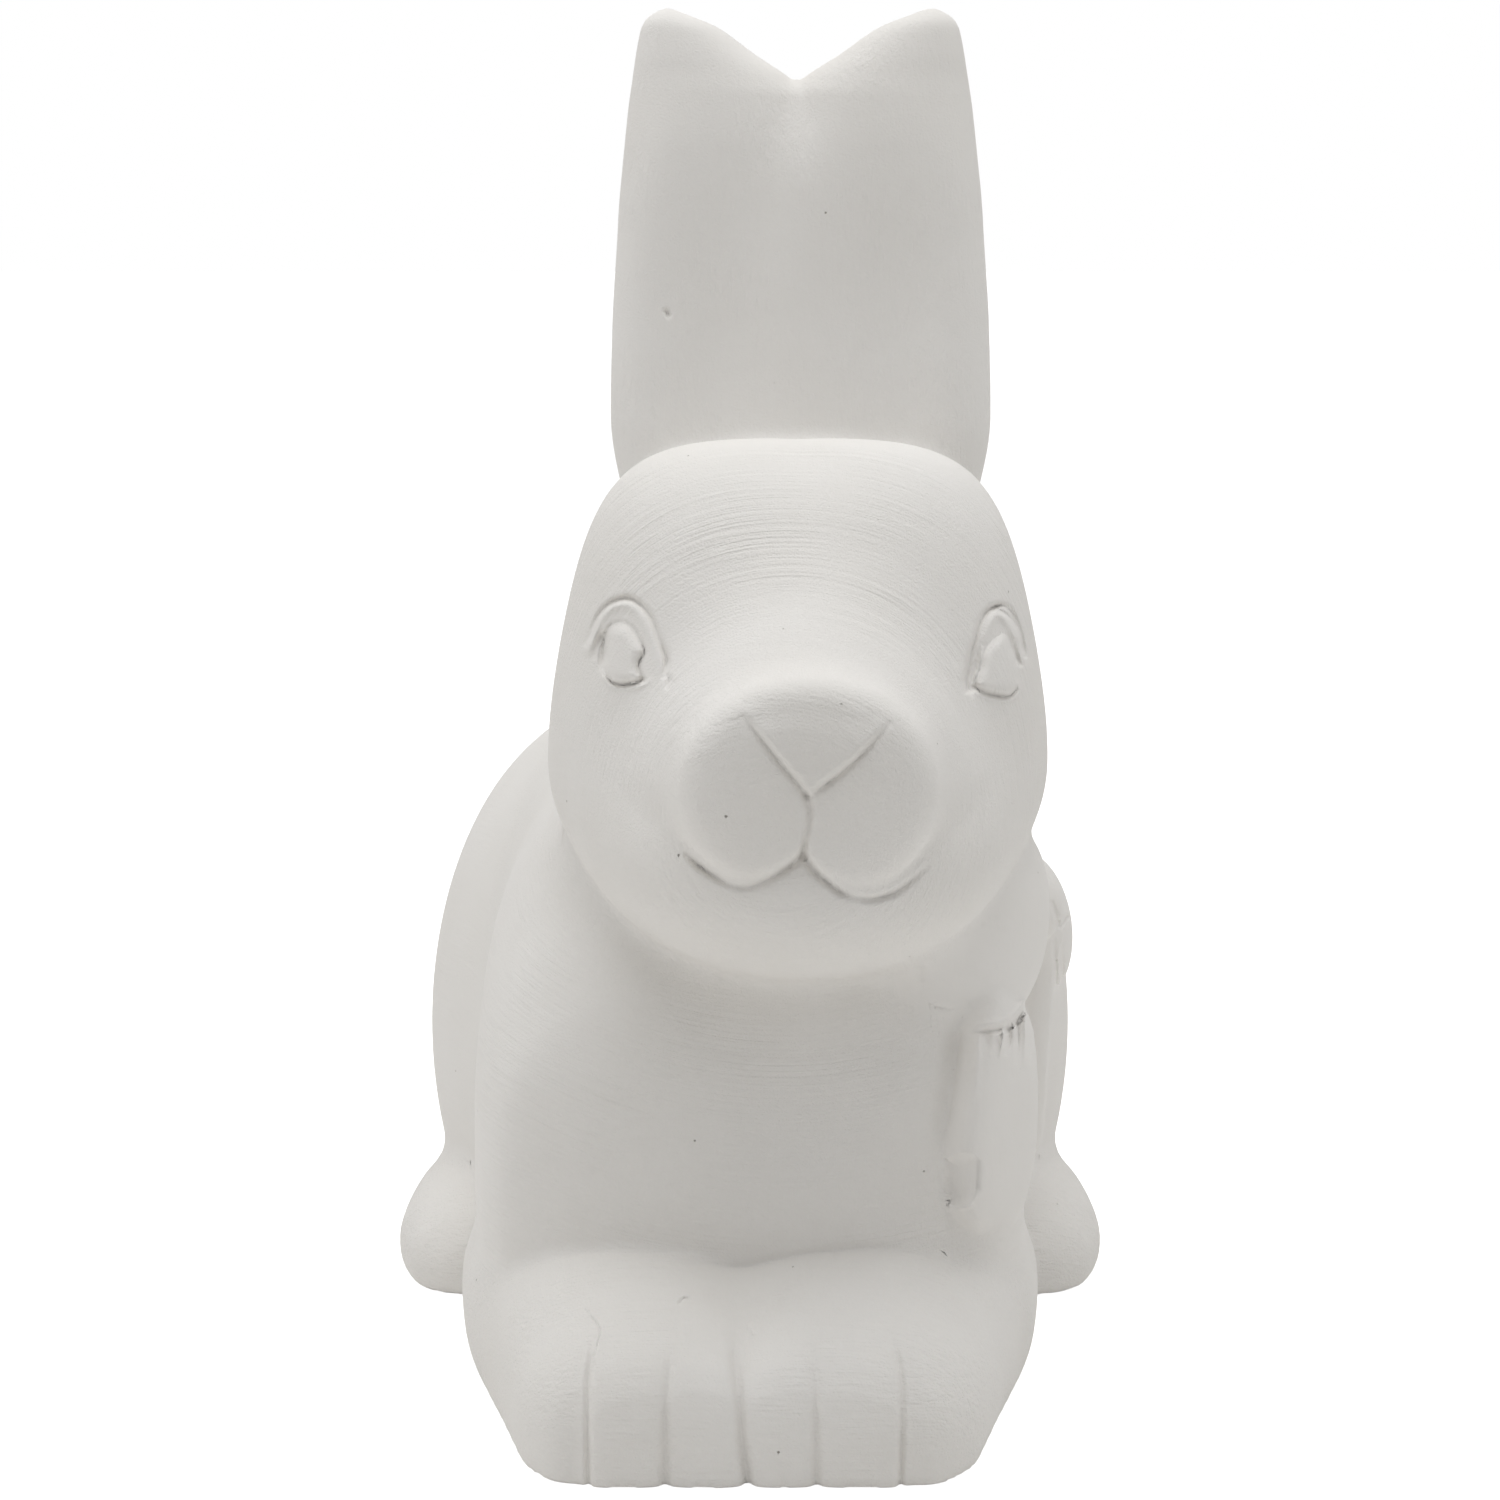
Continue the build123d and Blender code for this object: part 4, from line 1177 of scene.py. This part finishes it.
def straight_strokes(tree, place, along):
    """A place that changes slowly along one direction and fast across it."""
    scale = [per_metre(STROKE_LENGTH if a else STROKE_SPACING) for a in along]
    return add_node(tree, "Mapping", [("Vector", place, "Object")], Scale=scale)


def bisque(name, strength, centre=None, along=None):
    """Matt white earthenware, brushed smooth with a damp brush before it was fired.

    It shows brush strokes half a millimetre apart (drawn a little coarser, to show), a fine grit, a few
    open pinholes darkened with painted shade and a faint mottle, and it has no gloss.
    """
    material, tree = new_material(name)
    place = add_node(tree, "TexCoord")
    guide = round_strokes(tree, place, centre) if centre else straight_strokes(tree, place, along)
    strokes = add_node(tree, "TexNoise", [("Vector", guide, "Vector")], Scale=1.0, Detail=3.0, Roughness=0.6)
    patches, grit, mottle = (
        add_node(tree, "TexNoise", [("Vector", place, "Object")], Scale=per_metre(size), Detail=detail)
        for size, detail in ((STROKE_PATCHES, 1.0), (GRIT, 2.0), (MOTTLE, 4.0))
    )
    ends = ("From Min", "From Max", "To Min", "To Max")
    worked = add_node(tree, "MapRange", [("Value", patches, 0), *zip(ends, PATCHINESS)])
    brushed = add_node(tree, "Math", [(0, strokes, 0), (1, worked, "Result")], operation="MULTIPLY")
    shares = [(0, grit, 0), (1, GRIT_SHARE), (2, brushed, 0)]
    gritty = add_node(tree, "Math", shares, operation="MULTIPLY_ADD")
    cells = add_node(tree, "TexVoronoi", [("Vector", place, "Object")], Scale=per_metre(PORE_SPACING))
    rim = [edge * PORE_RADIUS / PORE_SPACING for edge in PORE_EDGE]
    open_pore = add_node(tree, "MapRange", [("Value", cells, "Distance"), *zip(ends, (*rim, 1.0, 0.0))])
    chance = add_node(tree, "SeparateColor", [("Color", cells, "Color")])
    picked = add_node(tree, "Math", [(0, chance, "Red"), (1, PORELESS)], operation="GREATER_THAN")
    pores = add_node(tree, "Math", [(0, open_pore, "Result"), (1, picked, 0)], operation="MULTIPLY")
    shares = [(0, pores, 0), (1, -PORE_SHARE), (2, gritty, 0)]
    height = add_node(tree, "Math", shares, operation="MULTIPLY_ADD")
    bump = add_node(tree, "Bump", [("Height", height, 0)], Strength=strength, Distance=RELIEF_DEPTH * MM)
    clay = [("Factor", mottle, 0), (6, linear(CLAY_DARK)), (7, linear(CLAY_LIGHT))]
    clay = add_node(tree, "Mix", clay, data_type="RGBA")
    # Painted shade: the pinholes are coloured darker grey, standing in for the shade in their hollows
    colour = [("Factor", pores, 0), (6, clay, 2), (7, linear(PORE_PAINTED_SHADE))]
    colour = add_node(tree, "Mix", colour, data_type="RGBA")
    dullness = add_node(tree, "MapRange", [("Value", grit, 0), *zip(ends[2:], CLAY_ROUGHNESS)])
    inputs = [("Base Color", colour, 2), ("Roughness", dullness, "Result"), ("Normal", bump, "Normal")]
    shader = add_node(tree, "BsdfPrincipled", [*inputs, ("Specular IOR Level", CLAY_SPECULAR)])
    add_node(tree, "OutputMaterial", [("Surface", shader, "BSDF")])
    return material


# How strongly the brush shows, where it went round or along, and the pieces
FINISHES = [
    ("bisque_brushed_round_the_muzzle", 0.9, {"centre": (8.5, -78.0, 96.0)}, ["head_shell"]),
    ("bisque_brushed_up_the_ears", 0.6, {"along": (0, 0, 1)}, ["right_ear", "left_ear"]),
    ("bisque_brushed_round_the_neck", 0.75, {"centre": (8.0, -38.0, 112.0)}, ["body_shell"]),
    (
        "bisque_brushed_over_the_haunch", 0.45, {"centre": (0.0, 44.0, 14.0)},
        ["right_haunch", "left_haunch", "tail"],
    ),
    (
        "bisque_brushed_across_the_toes", 0.8, {"along": (1, 0, 0)},
        ["right_foreleg", "left_foreleg", "right_hind_foot", "left_hind_foot"],
    ),
    (
        "bisque_brushed_down_the_bow", 0.3, {"along": (0, 0, 1)},
        ["bow_knot", "neck_ribbon", "bow_front_loop", "bow_rear_loop", "bow_front_tail", "bow_rear_tail"],
    ),
]

verts, tris, owners, normals = build_skin()
CLAY = {}
for name, strength, way, pieces in FINISHES:
    material = bisque(name, strength, **way)
    CLAY.update({piece: material for piece in pieces})
for name in PIECES:
    piece = make_piece(name, verts, tris, owners, normals)
    piece.data.materials.append(CLAY[name])
    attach(piece, "root")
    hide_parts(name)


# Floor, light and camera

FLOOR_HALF = 6.0
FLOOR_COLOUR = "#F4F3F1"
FLOOR_GLOW = 0.88
AMBIENT = 0.3
SOFTBOX_SIZE = 1.0

# Softboxes: place, the point they face and power
SOFTBOXES = [
    ("overhead_softbox", (0.0, -0.05, 1.1), (0, 0, 0.08), 7.4),
    ("left_softbox", (-1.1, -0.15, 0.45), (0, 0, 0.1), 2.3),
    ("right_softbox", (1.1, -0.15, 0.45), (0, 0, 0.1), 1.5),
]


def seen_directly(tree):
    """One for what the eye sees, also in gloss or through glass, and nought for light on its way."""
    rays = add_node(tree, "LightPath")
    either = [(0, rays, "Is Camera Ray"), (1, rays, "Is Glossy Ray")]
    either = add_node(tree, "Math", either, operation="MAXIMUM")
    return add_node(tree, "Math", [(0, either, 0), (1, rays, "Is Transmission Ray")], operation="MAXIMUM")


def make_floor():
    """A sheet of white paper, which looks evenly lit and still takes the figure's shadow."""
    corners = [(x * FLOOR_HALF, y * FLOOR_HALF, 0.0) for x, y in ((-1, -1), (1, -1), (1, 1), (-1, 1))]
    mesh = bpy.data.meshes.new("floor")
    mesh.from_pydata(corners, [], [(0, 1, 2, 3)])
    material, tree = new_material("white_paper_floor")
    diffuse = add_node(tree, "BsdfDiffuse", Color=linear(FLOOR_COLOUR))
    seen = seen_directly(tree)
    glow = add_node(tree, "Math", [(0, seen, 0), (1, FLOOR_GLOW)], operation="MULTIPLY")
    shine = add_node(tree, "Emission", [("Strength", glow, 0)])
    both = add_node(tree, "AddShader", [(0, diffuse, "BSDF"), (1, shine, "Emission")])
    add_node(tree, "OutputMaterial", [("Surface", both, "Shader")])
    mesh.materials.append(material)
    return add_object("floor", mesh)


floor = make_floor()

world = bpy.data.worlds.new("studio")
bpy.context.scene.world = world
world.use_nodes = True
tree = world.node_tree
tree.nodes.clear()
ambient = add_node(tree, "Background", Color=linear("#FFFFFF"), Strength=AMBIENT)
plain = add_node(tree, "Background", Color=linear("#FFFFFF"), Strength=1.0)
shades = [(0, seen_directly(tree), 0), (1, ambient, "Background"), (2, plain, "Background")]
mix = add_node(tree, "MixShader", shades)
add_node(tree, "OutputWorld", [("Surface", mix, "Shader")])

for name, place, target, power in SOFTBOXES:
    softbox = bpy.data.lights.new(name, "AREA")
    softbox.shape = "SQUARE"
    softbox.size = SOFTBOX_SIZE
    softbox.energy = power
    lamp = add_object(name, softbox)
    lamp.location = place
    lamp.rotation_euler = (Vector(target) - Vector(place)).to_track_quat("-Z", "Y").to_euler()

camera_data = bpy.data.cameras.new("camera")
camera_data.lens = CAMERA_LENS
camera_data.sensor_width = CAMERA_SENSOR
camera = add_object("camera", camera_data)
camera.location = Vector(CAMERA_PLACE) * MM
camera.rotation_euler = (radians(90 - CAMERA_PITCH), 0, 0)
bpy.context.scene.camera = camera
bpy.context.scene.view_settings.view_transform = "Standard"
